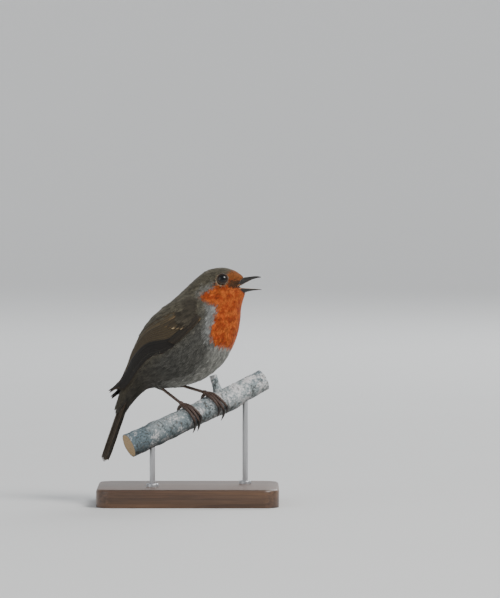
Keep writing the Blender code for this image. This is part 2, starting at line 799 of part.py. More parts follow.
def make_perch():
    """Makes the branch and the short sawn side shoot at its fork."""
    perch = perch_tube("perch")
    foot = perch_point(STUB_STATION, STUB_TURN, -STUB_FOOT)
    outward = PERCH_TOP * math.cos(STUB_TURN) + PERCH_NEAR * math.sin(STUB_TURN)
    heading = outward * math.cos(STUB_LEAN) + PERCH_AXIS * math.sin(STUB_LEAN)
    distances = np.linspace(0.0, STUB_LENGTH + STUB_FOOT, 9)
    path = [foot + heading * distance for distance in distances]
    radii = [STUB_RADIUS + STUB_FLARE * math.exp(-far / STUB_FLARE_LENGTH) for far in distances]
    combine(perch, tube("side_shoot", path, radii, material("bark"), 12), "UNION")


def make_stand():
    """Makes the flat base and the two rods that carry the perch."""
    length, width, height = BASE_SIZE
    data = bmesh.new()
    corners = []
    for quarter in range(4):
        centre_x = (length / 2 - BASE_CORNER) * (1 if quarter in (0, 3) else -1)
        centre_y = (width / 2 - BASE_CORNER) * (1 if quarter in (0, 1) else -1)
        for step in range(7):
            turn = math.pi / 2 * (quarter + step / 6)
            x = centre_x + BASE_CORNER * math.cos(turn)
            y = centre_y + BASE_CORNER * math.sin(turn)
            corners.append(data.verts.new((x, y, 0.0)))
    floor = data.faces.new(corners)
    raised = bmesh.ops.extrude_face_region(data, geom=[floor])["geom"]
    top = [item for item in raised if isinstance(item, bmesh.types.BMVert)]
    bmesh.ops.translate(data, vec=(0.0, 0.0, height), verts=top)
    base = new_object("stand_base", data, material("base", 0.4))
    bevel = base.modifiers.new("chamfer", "BEVEL")
    bevel.width = BASE_CHAMFER * MM
    bevel.segments = 1
    bevel.limit_method = "ANGLE"
    bevel.angle_limit = math.radians(60)
    clearance = perch_tube("perch_room", GAP)
    for name, station in ROD_STATIONS.items():
        head = perch_core(station)
        path = [(head[0], head[1], level) for level in (height + GAP, head[2])]
        rod = tube(name, path, (ROD_RADIUS, ROD_RADIUS), material("rod", 0.3, 1.0), 16)
        combine(rod, clearance)


def main():
    """Clears the scene and makes the whole model."""
    for old in list(bpy.data.objects):
        bpy.data.objects.remove(old, do_unlink=True)
    make_head()
    make_bill()
    make_trunk()
    make_wings()
    tail_blade("tail")
    make_legs()
    make_perch()
    make_stand()


if __name__ == "__main__":
    main()
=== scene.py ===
"""A European robin singing on a cut length of branch: the finished look of a museum model.

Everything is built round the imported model, in its frame, whose origin is the middle of the
display stand's underside. Sizes are in millimetres and scaled where a mesh is made. The bird
has its own axes, forward, out to its left, and up, which the heading turns into the frame's.
"""

import logging
import math
from dataclasses import dataclass, field
from enum import Enum
from typing import Any, Callable, Mapping, Protocol, Sequence

import bmesh
import bpy
import numpy as np
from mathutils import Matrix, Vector, noise


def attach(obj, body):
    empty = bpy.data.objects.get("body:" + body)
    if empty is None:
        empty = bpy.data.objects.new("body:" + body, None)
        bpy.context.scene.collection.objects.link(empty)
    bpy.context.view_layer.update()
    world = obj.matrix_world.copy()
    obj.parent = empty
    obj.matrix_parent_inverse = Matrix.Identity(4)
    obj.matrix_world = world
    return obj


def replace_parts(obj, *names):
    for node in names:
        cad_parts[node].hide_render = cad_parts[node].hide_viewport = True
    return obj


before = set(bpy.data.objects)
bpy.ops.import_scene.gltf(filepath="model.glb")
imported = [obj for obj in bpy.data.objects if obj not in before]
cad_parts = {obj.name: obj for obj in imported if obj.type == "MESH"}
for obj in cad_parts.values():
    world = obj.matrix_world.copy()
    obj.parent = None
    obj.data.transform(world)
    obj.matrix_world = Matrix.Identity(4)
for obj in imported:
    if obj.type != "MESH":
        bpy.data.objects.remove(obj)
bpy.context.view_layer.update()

MM = 0.001
BODY = "root"
HEADING = math.radians(-8.0)
LOG = logging.getLogger("robin")

Array = np.ndarray
Random = np.random.Generator
Piece = bpy.types.Object
Material = bpy.types.Material
Colour = tuple[float, float, float]


class Side(Enum):
    """The bird's two sides, as the sign of the way out from its midline."""

    RIGHT = -1
    LEFT = 1


class Slot(Enum):
    """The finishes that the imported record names."""

    FEATHERS = "feathers"
    FLIGHT = "flight_feathers"
    BILL = "bill"
    MOUTH = "mouth"
    EYE = "eye"
    LEG = "leg_skin"
    CLAW = "claw"
    BARK = "bark"
    WOOD = "stand_wood"
    METAL = "stand_metal"


# ---------------------------------------------------------------- curves and frames
def curve(values: Array, at: Array) -> Array:
    """Reads a smooth curve through evenly numbered rows, which runs straight on past its ends.

    Args:
        values: The rows that the curve passes through.
        at: Where to read it, counted in rows.

    Returns:
        One row of values for each place in `at`.
    """
    values, at = np.asarray(values, float), np.asarray(at, float)
    last = len(values) - 1
    held = np.clip(at, 0.0, last)
    step = np.clip(np.floor(held).astype(int), 0, last - 1)
    part = (held - step)[..., None]
    rows = np.vstack([2 * values[0] - values[1], values, 2 * values[-1] - values[-2]])
    before, first, second, after = (rows[step + k] for k in range(4))
    smooth = 0.5 * (
        2 * first
        + (second - before) * part
        + (2 * before - 5 * first + 4 * second - after) * part**2
        + (3 * first - before - 3 * second + after) * part**3
    )
    slope = np.where((at < 0)[..., None], values[1] - values[0], values[-1] - values[-2])
    return smooth + slope * (at - held)[..., None]


def ease(value: Array, low: float, high: float) -> Array:
    """Rises smoothly from 0 at `low` to 1 at `high`, or falls where `high` is the lower."""
    share = np.clip((np.asarray(value, float) - low) / (high - low), 0.0, 1.0)
    return share * share * (3 - 2 * share)


def read(table: Sequence[Sequence[float]], count: int) -> Array:
    """Reads a smooth curve through a table's rows at evenly spaced places, ends included."""
    return curve(np.array(table), np.linspace(0.0, len(table) - 1.0, count))


def unit(vectors: Array) -> Array:
    """Scales vectors to a length of one."""
    return vectors / np.maximum(np.linalg.norm(vectors, axis=-1, keepdims=True), 1e-12)


def to_model(points: Array, heading: float = HEADING) -> Array:
    """Turns points of forward, out to the left and up into the model's frame."""
    x, y, up = np.moveaxis(np.asarray(points, float), -1, 0)
    cos_turn, sin_turn = math.cos(heading), math.sin(heading)
    return np.stack([x * cos_turn - y * sin_turn, x * sin_turn + y * cos_turn, up], axis=-1)


def from_model(points: Array) -> Array:
    """Turns points of the model's frame into forward, out to the left and up."""
    return to_model(points, -HEADING)


def circle(count: int) -> Array:
    """Evenly spaced angles round a full turn."""
    return np.linspace(0, 2 * np.pi, count, False)


def spokes(first: Array, second: Array, turn: Array) -> Array:
    """Directions out from a path's points at angles from one across it towards another."""
    return first[:, None] * np.cos(turn)[:, None] + second[:, None] * np.sin(turn)[:, None]


def grid(rows: Array, columns: Array) -> tuple[Array, Array]:
    """Spreads two rows of numbers over a grid."""
    return tuple(np.meshgrid(rows, columns, indexing="ij"))


def both(first: Array, second: Array) -> Sequence[Array]:
    """Turns two arrays or numbers into arrays of one shape."""
    return np.broadcast_arrays(np.asarray(first, float), np.asarray(second, float))


def segment_distance(points: Array, start: Array, end: Array) -> Array:
    """The distance of flat points from a straight line between two others."""
    line = end - start
    share = np.clip(((points - start) @ line) / (line @ line), 0.0, 1.0)
    return np.linalg.norm(points - start - share[..., None] * line, axis=-1)


def outline_distance(points: Array, outline: Array, closed: bool = True) -> Array:
    """The distance of flat points from a many-sided outline, negative inside a closed one."""
    following = np.roll(outline, -1, axis=0)
    pairs = list(zip(outline, following))[: None if closed else -1]
    nearest = np.min([segment_distance(points, a, b) for a, b in pairs], axis=0)
    if not closed:
        return nearest
    inside = np.zeros(points.shape[:-1], bool)
    for (x_a, y_a), (x_b, y_b) in pairs:
        spans = (y_a > points[..., 1]) != (y_b > points[..., 1])
        crossing = x_a + (points[..., 1] - y_a) * (x_b - x_a) / (y_b - y_a + 1e-12)
        inside ^= spans & (points[..., 0] < crossing)
    return np.where(inside, -nearest, nearest)


# ---------------------------------------------------------------- meshes
def deselect() -> None:
    """Leaves nothing selected, so that an operator acts only on what comes next."""
    bpy.ops.object.select_all(action="DESELECT")


def activate(piece: Piece) -> None:
    """Selects one object alone and makes it the active one."""
    deselect()
    piece.select_set(True)
    bpy.context.view_layer.objects.active = piece


def apply_modifier(piece: Piece, kind: str, **settings: Any) -> None:
    """Adds a modifier with its settings and applies it."""
    activate(piece)
    made = piece.modifiers.new(kind.lower(), kind)
    for name, value in settings.items():
        setattr(made, name, value)
    bpy.ops.object.modifier_apply(modifier=made.name)


def smooth(piece: Piece, degrees: float = 35.0) -> None:
    """Shades a piece smooth, except across edges sharper than an angle."""
    activate(piece)
    bpy.ops.object.shade_smooth_by_angle(angle=math.radians(degrees))
    deselect()


def turn_outward(piece: Piece) -> None:
    """Merges a piece's doubled points and turns its faces outwards."""
    activate(piece)
    bpy.ops.object.mode_set(mode="EDIT")
    bpy.ops.mesh.select_all(action="SELECT")
    bpy.ops.mesh.remove_doubles(threshold=1e-6)
    bpy.ops.mesh.normals_make_consistent(inside=False)
    bpy.ops.object.mode_set(mode="OBJECT")
    deselect()


def settle(piece: Piece) -> None:
    """Puts a piece's place, turn and size into its mesh."""
    activate(piece)
    bpy.ops.object.transform_apply(location=True, rotation=True, scale=True)
    deselect()


def join(pieces: Sequence[Piece], name: str) -> Piece:
    """Joins objects into the first of them and names it."""
    activate(pieces[0])
    for piece in pieces[1:]:
        piece.select_set(True)
    if len(pieces) > 1:
        bpy.ops.object.join()
    pieces[0].name = pieces[0].data.name = name
    deselect()
    return pieces[0]


def linked(name: str, data: bpy.types.ID) -> Piece:
    """Puts a new object into the scene."""
    made = bpy.data.objects.new(name, data)
    bpy.context.scene.collection.objects.link(made)
    return made


def carry(piece: Piece, **layers: Array) -> None:
    """Writes named colours of four shares onto a piece's points."""
    for name, values in layers.items():
        layer = piece.data.attributes.new(name, "FLOAT_COLOR", "POINT")
        layer.data.foreach_set("color", values.astype(np.float32).ravel())


def points_of(piece: Piece) -> Array:
    """A piece's points in millimetres."""
    return np.array([tuple(vertex.co) for vertex in piece.data.vertices]) / MM


@dataclass
class Shell:
    """Points, the faces between them, and what each point carries.

    Attributes:
        points: Points in millimetres, in the model's frame.
        faces: Arrays of faces with equally many corners, with one row of corners for each.
        layers: Named colours for each point, of four shares.
        normals: The direction that each point is shaded by, if not its faces' own.
        places: Where each point lies on the flat map, the UV layer named OFBake.
    """

    points: Array
    faces: list[Array]
    layers: dict[str, Array] = field(default_factory=dict)
    normals: Array | None = None
    places: Array | None = None

    def build(self, name: str, soft: bool = True) -> Piece:
        """Makes the object.

        Args:
            name: The object's name.
            soft: Whether its faces are shaded smooth.

        Returns:
            The new object, at the origin.
        """
        mesh = bpy.data.meshes.new(name)
        corners = np.concatenate([group.ravel() for group in self.faces]).astype(np.int32)
        sizes = np.concatenate([np.full(len(g), g.shape[1], np.int32) for g in self.faces])
        starts = np.concatenate([[0], np.cumsum(sizes)[:-1]]).astype(np.int32)
        mesh.vertices.add(len(self.points))
        mesh.vertices.foreach_set("co", (self.points * MM).astype(np.float32).ravel())
        mesh.loops.add(len(corners))
        mesh.loops.foreach_set("vertex_index", corners)
        mesh.polygons.add(len(sizes))
        mesh.polygons.foreach_set("loop_start", starts)
        mesh.polygons.foreach_set("use_smooth", np.full(len(sizes), soft, bool))
        mesh.update(calc_edges=True)
        made = linked(name, mesh)
        carry(made, **self.layers)
        if self.places is not None:
            flat = mesh.uv_layers.new(name="OFBake")
            flat.uv.foreach_set("vector", self.places[corners].astype(np.float32).ravel())
        if self.normals is not None:
            mesh.normals_split_custom_set_from_vertices(self.normals.astype(np.float32))
        return made

    def turned_out(self) -> "Shell":
        """Turns the faces round if they face inwards on the whole."""
        volume = 0.0
        for group in self.faces:
            first = self.points[group[:, 0]]
            for step in range(1, group.shape[1] - 1):
                second, third = self.points[group[:, step]], self.points[group[:, step + 1]]
                volume += float(np.sum(first * np.cross(second, third)))
        if volume < 0:
            self.faces = [group[:, ::-1] for group in self.faces]
        return self

    @staticmethod
    def joined(parts: Sequence["Shell"]) -> "Shell":
        """Puts several shells that carry the same things into one."""
        offsets = np.cumsum([0] + [len(part.points) for part in parts])
        faces = [group + low for part, low in zip(parts, offsets) for group in part.faces]
        layers = {name: np.concatenate([part.layers[name] for part in parts])
                  for name in parts[0].layers}
        points, normals, places = (
            None if rows[0] is None else np.concatenate(rows)
            for rows in zip(*((part.points, part.normals, part.places) for part in parts)))
        return Shell(points, faces, layers, normals, places)


def grid_faces(rows: int, columns: int, closed: bool) -> Array:
    """Corners of the faces between a grid's points, which may close round its columns."""
    i, j = (v.ravel() for v in grid(np.arange(rows - 1), np.arange(columns - (not closed))))
    k = (j + 1) % columns
    low, high = i * columns, (i + 1) * columns
    return np.stack([low + j, low + k, high + k, high + j], 1)


def tube_shell(rings: Array, layers: dict[str, Array] | None = None) -> Shell:
    """A closed body through rings of points, with a point in the middle of each end.

    Args:
        rings: Points, as rings by points by three.
        layers: Named colours, as rings by points by four.
    """
    rows, columns = rings.shape[:2]
    middle = rows * columns
    around, following = np.arange(columns), (np.arange(columns) + 1) % columns
    ends = np.stack([rings[0].mean(0), rings[-1].mean(0)])
    first = np.stack([following, around, np.full(columns, middle)], 1)
    last = (rows - 1) * columns
    final = np.stack([last + around, last + following, np.full(columns, middle + 1)], 1)
    carried = {
        name: np.concatenate([v.reshape(-1, 4), v[0].mean(0)[None], v[-1].mean(0)[None]])
        for name, v in (layers or {}).items()
    }
    faces = [grid_faces(rows, columns, True), np.concatenate([first, final])]
    return Shell(np.concatenate([rings.reshape(-1, 3), ends]), faces, carried)


def path_frames(path: Array, guide: Array) -> tuple[Array, Array, Array]:
    """Directions along a path, and two across it that turn as little as they can.

    Args:
        path: Points of the path.
        guide: The direction that the second of the two starts nearest to.

    Returns:
        Unit vectors ahead, to the side and up, one of each for a point.
    """
    ahead = unit(np.gradient(path, axis=0))
    sides, ups = [], []
    for direction in ahead:
        side = unit(np.cross(direction, guide))
        guide = np.cross(side, direction)
        sides.append(side)
        ups.append(guide)
    return ahead, np.array(sides), np.array(ups)


def dressed(piece: Piece, paint: Material, slot: Slot) -> Piece:
    """Gives a finished piece its material and its body, and reports it with its slot."""
    piece.data.materials.clear()
    piece.data.materials.append(paint)
    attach(piece, BODY)
    LOG.info("%s: %d faces, %s", piece.name, len(piece.data.polygons), slot.value)
    return piece


# ---------------------------------------------------------------- finishes
@dataclass(frozen=True)
class Value:
    """A number or a colour that varies over a surface, as the output of a node."""

    paint: "Paint"
    socket: bpy.types.NodeSocket

    def maths(self, operation: str, *others: Any) -> "Value":
        """Joins this value and others by one Math node."""
        inputs = dict(enumerate((self, *others)))
        return self.paint.node("ShaderNodeMath", {"operation": operation}, inputs)

    def __add__(self, other: Any) -> "Value":
        """Adds a number or a value."""
        return self.maths("ADD", other)

    def __sub__(self, other: Any) -> "Value":
        """Takes a number or a value away."""
        return self.maths("SUBTRACT", other)

    def __mul__(self, other: Any) -> "Value":
        """Multiplies by a number or a value."""
        return self.maths("MULTIPLY", other)

    __radd__ = __add__
    __rmul__ = __mul__

    def eased(self, low: float, high: float) -> "Value":
        """Turns the range from `low` to `high` smoothly into 0 to 1."""
        return self.paint.node("ShaderNodeMapRange", {"interpolation_type": "SMOOTHSTEP"},
                               {0: self, 1: low, 2: high, 3: 0.0, 4: 1.0})


class Paint:
    """A material under construction, whose nodes are added one call at a time."""

    def __init__(self, name: str) -> None:
        """Starts a material with a Principled shader."""
        self.material = bpy.data.materials.new(name)
        self.material.use_nodes = True
        self.tree = self.material.node_tree
        self.shader = self.tree.nodes["Principled BSDF"]

    def node(self, kind: str, settings: Mapping[str, Any] | None = None,
             inputs: Mapping[Any, Any] | None = None, output: int | str = 0) -> Value:
        """Adds a node.

        Args:
            kind: The node's type.
            settings: What is set on the node itself.
            inputs: A value or a link for each of its sockets, by number or name.
            output: Which of its outputs is meant.

        Returns:
            That output.
        """
        made = self.tree.nodes.new(kind)
        for name, value in (settings or {}).items():
            setattr(made, name, value)
        for name, value in (inputs or {}).items():
            self.feed(made.inputs[name], value)
        return Value(self, made.outputs[output])

    def feed(self, socket: bpy.types.NodeSocket, value: Any) -> None:
        """Links a value to a socket, or sets the socket to a number or a colour."""
        if isinstance(value, Value):
            self.tree.links.new(value.socket, socket)
        elif socket.type == "RGBA":
            socket.default_value = (*value, 1.0)
        else:
            socket.default_value = value

    def place(self) -> Value:
        """The place on the object, in metres."""
        return self.node("ShaderNodeTexCoord", output="Object")

    def spot(self, *shares: Value) -> Value:
        """A place made of up to three values."""
        return self.node("ShaderNodeCombineXYZ", None, dict(enumerate(shares)))

    def streaks(self, scale: Sequence[float], detail: float = 3.0, rough: float = 0.5,
                turn: Sequence[float] = (0.0, 0.0, 0.0)) -> Value:
        """Random streaks, finer along the axes of a turned space that have a larger scale."""
        turned = self.node("ShaderNodeVectorRotate", {"rotation_type": "EULER_XYZ"},
                           {"Vector": self.place(), "Rotation": tuple(turn)})
        place = self.node("ShaderNodeVectorMath", {"operation": "MULTIPLY"},
                          {0: turned, 1: tuple(scale)})
        return self.noise(1.0, detail, place, rough)

    def carried(self, name: str, share: str) -> Value:
        """One share, x, y, z or w, of a named colour that the mesh carries."""
        settings = {"attribute_name": name}
        if share == "w":
            return self.node("ShaderNodeAttribute", settings, output="Alpha")
        colour = self.node("ShaderNodeAttribute", settings, output="Color")
        return self.node("ShaderNodeSeparateXYZ", None, {0: colour}, "xyz".index(share))

    def noise(self, scale: float, detail: float = 3.0, at: Value | None = None,
              rough: float = 0.5) -> Value:
        """Soft random patches, by default in the object's own space."""
        return self.node("ShaderNodeTexNoise", None, {
            "Vector": at or self.place(), "Scale": scale, "Detail": detail, "Roughness": rough})

    def mix(self, share: Any, first: Any, second: Any, blend: str = "MIX") -> Value:
        """Mixes two colours."""
        settings = {"data_type": "RGBA", "blend_type": blend}
        return self.node("ShaderNodeMix", settings, {0: share, 6: first, 7: second}, 2)

    def shaded(self, colour: Any, level: Value) -> Value:
        """Makes a colour lighter or darker by a varying level."""
        return self.node("ShaderNodeVectorMath", {"operation": "SCALE"}, {0: colour, 3: level})

    def bump(self, height: Value, depth: float, strength: float = 1.0,
             under: Value | None = None) -> Value:
        """A surface raised by a height of up to `depth` metres."""
        inputs = {"Strength": strength, "Distance": depth, "Height": height}
        return self.node("ShaderNodeBump", None, inputs | ({"Normal": under} if under else {}))

    def done(self, **sockets: Any) -> Material:
        """Feeds the shader's sockets, named with underlines for spaces."""
        for name, value in sockets.items():
            self.feed(self.shader.inputs[name.replace("_", " ")], value)
        return self.material


# ---------------------------------------------------------------- the body's form
class Surface(Protocol):
    """A surface that feathers grow on, with two numbers for each of its points."""

    def point(self, along: Array, across: Array, lift: Array | float) -> Array:
        """A point at a height over the surface, in the bird's axes."""


@dataclass(frozen=True)
class Body:
    """The feathered body, as slanted sections from the bill's base to the tail coverts.

    Attributes:
        sections: For each, the back line's forward and up, the belly line's forward and up,
            half the width, and the share of the height above the widest line.
        roundness: How square the sections are, where 2 is round.
        gape: Forward and up of the corner of the feathers' edge round the mouth.
        culmen_base: Forward and up of the feathers' edge over the bill.
        chin: Forward and up of the feathers' edge under the bill.
        face: Half the face's width at the mouth, how fast it widens, and how sharply.
        halvings: How many times the search for the section through a point halves its span.
    """

    sections: tuple[tuple[float, ...], ...] = (
        (31.0, 124.9, 32.2, 116.4, 2.3, 0.50),
        (29.0, 126.6, 31.5, 114.9, 3.7, 0.48),
        (25.2, 128.8, 30.5, 112.0, 6.1, 0.44),
        (18.9, 130.2, 29.4, 107.3, 8.6, 0.43),
        (10.2, 128.5, 29.0, 101.2, 10.6, 0.45),
        (1.6, 121.6, 27.4, 93.2, 13.6, 0.47),
        (-7.8, 112.9, 23.9, 84.6, 17.2, 0.48),
        (-17.5, 105.2, 18.1, 75.9, 19.0, 0.49),
        (-25.5, 94.9, 6.7, 67.6, 18.6, 0.50),
        (-30.6, 83.8, -9.4, 63.6, 15.2, 0.50),
        (-33.4, 75.4, -21.1, 63.4, 11.0, 0.50),
        (-35.8, 67.8, -27.4, 59.0, 7.8, 0.50),
        (-38.2, 60.6, -32.6, 53.2, 5.8, 0.50),
        (-40.2, 54.6, -36.2, 47.6, 4.0, 0.50),
    )
    roundness: float = 2.2
    gape: tuple[float, float] = (27.8, 119.85)
    culmen_base: tuple[float, float] = (31.0, 125.4)
    chin: tuple[float, float] = (31.8, 115.75)
    face: tuple[float, float, float] = (5.0, 1.1, 6.0)
    halvings: int = 26

    def _section(self, at: Array) -> tuple[Array, ...]:
        """A section's six numbers and its height, at places along the body."""
        values = tuple(np.moveaxis(curve(np.array(self.sections), at), -1, 0))
        return *values, np.hypot(values[0] - values[2], values[1] - values[3])

    def mouth_distance(self, forward: Array, up: Array) -> Array:
        """How far a point of the side view lies behind the wedge of the open mouth."""
        corner = self.gape
        distances = []
        for (end_f, end_u), turn in ((self.culmen_base, 1.0), (self.chin, -1.0)):
            line_f, line_u = end_f - corner[0], end_u - corner[1]
            away = line_f * (up - corner[1]) - line_u * (forward - corner[0])
            distances.append(turn * away / math.hypot(line_f, line_u))
        return np.maximum(*distances)

    def narrowed(self, out: Array, forward: Array, up: Array) -> Array:
        """Draws a point in towards the midline where the face tapers to the bill."""
        width, slope, blend = self.face
        limit = width + slope * np.maximum(self.mouth_distance(forward, up), 0.0)
        return out * (1.0 + np.abs(out / limit) ** blend) ** (-1.0 / blend)

    def point(self, along: Array, across: Array, lift: Array | float = 0.0) -> Array:
        """A point of the feathered body.

        Args:
            along: Which section, counted from the bill's base.
            across: Angle round it from the back line towards the bird's left.
            lift: How far outside the feathered outline.

        Returns:
            Forward, left and up.
        """
        back_f, back_u, belly_f, belly_u, width, crown, height = self._section(along)
        axis_f, axis_u = (back_f - belly_f) / height, (back_u - belly_u) / height
        high, wide = np.cos(across), np.sin(across)
        reach = np.where(high > 0, crown, 1.0 - crown) * height + lift
        rise = np.sign(high) * np.abs(high) ** (2 / self.roundness) * reach - crown * height
        out = np.sign(wide) * np.abs(wide) ** (2 / self.roundness) * (width + lift)
        forward, up = back_f + axis_f * rise, back_u + axis_u * rise
        return np.stack([forward, self.narrowed(out, forward, up), up], axis=-1)

    def half_width(self, forward: Array, up: Array) -> Array:
        """Half the body's width at points of its side view, or 0 outside its outline."""
        forward, up = both(forward, up)

        def ahead(at: Array) -> Array:
            """How far the points lie ahead of the sections, with the sign that matters."""
            back_f, back_u, belly_f, belly_u = self._section(at)[:4]
            return (back_f - belly_f) * (up - belly_u) - (back_u - belly_u) * (forward - belly_f)

        low, high = np.zeros(up.shape), np.full(up.shape, len(self.sections) - 1.0)
        first = ahead(low)
        outside = first * ahead(high) > 0
        for _ in range(self.halvings):
            middle = 0.5 * (low + high)
            later = first * ahead(middle) > 0
            low, high = np.where(later, middle, low), np.where(later, high, middle)
        back_f, back_u, belly_f, belly_u, width, crown, height = self._section(low)
        below = (back_f - forward) * (back_f - belly_f) + (back_u - up) * (back_u - belly_u)
        below = below / height
        reach = np.where(below < crown * height, crown, 1.0 - crown) * height
        share = np.abs(below - crown * height) / reach
        out = width * np.maximum(0.0, 1.0 - share**self.roundness) ** (1 / self.roundness)
        return np.where(outside, 0.0, self.narrowed(out, forward, up))


@dataclass(frozen=True)
class Eyes:
    """Where the eyes sit.

    Attributes:
        radius: The eyeball's radius.
        place: Forward and up of its middle.
        sunk: How deep its middle lies inside the feathered outline.
    """

    radius: float = 3.9
    place: tuple[float, float] = (19.95, 123.5)
    sunk: float = 2.8

    def centre(self, body: Body, side: Side) -> Array:
        """The middle of an eyeball, in the bird's axes."""
        out = float(body.half_width(*self.place)) - self.sunk
        return np.array([self.place[0], side.value * out, self.place[1]])

    def opening(self) -> float:
        """The radius of the part of the ball that shows."""
        return math.sqrt(self.radius**2 - self.sunk**2)


@dataclass(frozen=True)
class Markings:
    """The robin's pattern, as shares of its colours at any place on the body.

    Attributes:
        body, eyes: The form that carries it.
        bib: The edge of the orange face and breast, as forward and up.
        edge: How softly the orange ends.
        band: How wide the grey border beside the orange is.
        lore: The dusky patch between the eye and the bill, and its size.
        brow: A direction up the face, and where along it the orange starts and ends to darken.
    """

    body: Body
    eyes: Eyes
    bib: tuple[tuple[float, float], ...] = (
        (40.0, 140.0), (24.6, 128.6), (23.2, 127.2), (21.6, 126.4), (18.6, 124.6), (17.4, 122.4),
        (15.2, 119.6), (12.6, 117.6), (9.4, 116.0), (8.2, 114.2), (10.6, 112.4), (14.6, 111.3),
        (17.6, 110.2), (17.8, 107.4), (16.6, 101.5), (15.4, 96.0), (15.6, 91.0), (18.0, 88.0),
        (22.0, 86.6), (30.0, 85.6), (60.0, 84.0),
    )
    edge: float = 0.9
    band: float = 5.5
    lore: tuple[float, float, float] = (26.5, 121.4, 3.8)
    brow: tuple[float, float, float, float] = (0.25, 0.97, 124.6, 128.4)

    def shares(self, points: Array) -> Array:
        """Shares of orange, grey border, white belly and underside at points of the bird.

        Args:
            points: Forward, left and up.

        Returns:
            Four shares for each point.
        """
        side = points[..., (0, 2)]
        table = np.array(self.body.sections)
        belly = outline_distance(side, table[:, 2:4], closed=False)
        back = outline_distance(side, table[:, 0:2], closed=False)
        low = back / (back + belly + 1e-6)
        away = outline_distance(side, np.array(self.bib))
        orange = ease(away, self.edge, -self.edge)
        forward, up = side[..., 0], side[..., 1]
        breast = ease(forward + 0.35 * (104.0 - up), 8.0, 12.5) * ease(up, 113.0, 109.0)
        breast *= 0.5 + 0.5 * ease(up, 88.0, 101.0)
        nape = 0.65 * ease(up, 112.0, 115.5) * ease(up, 125.0, 119.0) * ease(forward, 1.0, 8.0)
        border = ease(away, self.band, 0.5 * self.band) * np.maximum(breast, nape)
        border *= 1.0 - orange
        border *= 0.35 + 0.65 * ease(low, 0.12, 0.4)
        reach = 6.0 + 9.0 * ease(side[..., 0], 0.0, 20.0)
        white = 0.9 * ease(belly, reach, 0.0) * ease(side[..., 1], 98.0, 86.0)
        white *= ease(side[..., 0], -24.0, 2.0) * (1.0 - orange)
        return np.stack([orange, border, white, ease(low, 0.30, 0.60)], axis=-1)

    def details(self, points: Array) -> Array:
        """Shares of pale eye ring, dusky lore, brown brow, and the vent's browner grey with
        painted shade under the tail, at points of the bird.
        """
        side = points[..., (0, 2)]
        ring = np.linalg.norm(side - np.array(self.eyes.place), axis=-1)
        lore = np.linalg.norm((side - np.array(self.lore[:2])) * (0.8, 1.15), axis=-1)
        return np.stack([
            ease(ring, self.eyes.opening() + 1.0, self.eyes.opening() + 0.5),
            ease(lore, self.lore[2], 0.5 * self.lore[2]),
            ease(side @ np.array(self.brow[:2]), self.brow[2], self.brow[3]),
            # The vent: its own browner grey, deepened by painted shade under the tail, darker
            # towards the back and down.
            0.6 * ease(side[..., 0], -2.0, -27.0) * ease(side[..., 1], 90.0, 68.0),
        ], axis=-1)


@dataclass(frozen=True)
class Plumage:
    """The finish of skin and small feathers: one set of colours for both.

    Attributes:
        back, side, border, white: Colours away from the bib.
        orange, deep: The bib's lighter and darker orange.
        ring, dusk, brow: The colours of the eye ring, the lore and the brow.
        shade: The dark brown of the wing, also laid under the tail as painted shade over the
            feathers' own browner grey.
    """

    back: Colour = (0.086, 0.076, 0.053)
    side: Colour = (0.068, 0.066, 0.058)
    border: Colour = (0.200, 0.204, 0.196)
    white: Colour = (0.26, 0.26, 0.235)
    orange: Colour = (0.47, 0.102, 0.014)
    deep: Colour = (0.27, 0.040, 0.005)
    ring: Colour = (0.235, 0.172, 0.108)
    dusk: Colour = (0.060, 0.026, 0.009)
    brow: Colour = (0.215, 0.066, 0.014)
    shade: Colour = (0.038, 0.031, 0.022)

    def paint(self, name: str, skin: bool = False) -> Material:
        """Makes the material.

        Args:
            name: The material's name.
            skin: Whether it is for the skin under the feathers, which is a little darker.
        """
        paint = Paint(name)
        marks, tuft = "marks", "tuft"
        patches = paint.noise(330.0, 3.0)
        fine = paint.noise(1500.0, 2.0)
        under = paint.carried(marks, "w")
        base = paint.mix(under, self.back, self.side)
        # Mixes in the wing's own dark brown, and the painted shade under the tail.
        base = paint.mix(paint.carried("face", "w"), base, self.shade)
        base = paint.mix(paint.carried(marks, "y"), base, self.border)
        base = paint.mix(paint.carried(marks, "z"), base, self.white)
        bib = paint.mix(patches.eased(0.38, 0.62), self.orange, self.deep)
        bib = paint.mix(paint.carried("face", "z"), bib, self.brow)
        base = paint.mix(paint.carried(marks, "x"), base, bib)
        base = paint.mix(paint.carried("face", "x"), base, self.ring)
        base = paint.mix(paint.carried("face", "y"), base, self.dusk)
        level = 0.56 + patches.eased(0.30, 0.70) * 0.26 + fine * 0.50
        if not skin:
            along, lone = paint.carried(tuft, "x"), paint.carried(tuft, "z")
            level = level * (0.62 + along * 0.56) * (0.60 + lone * 0.78)
            level = level * (0.86 + paint.carried(tuft, "w") * 0.28)
        else:
            level = level * 0.62
        colour = paint.shaded(base, level)
        relief = paint.bump(fine, 0.00012, 0.6)
        return paint.done(Base_Color=colour, Roughness=0.86, Normal=relief,
                          Sheen_Weight=0.12, Sheen_Roughness=0.5, Specular_IOR_Level=0.25)


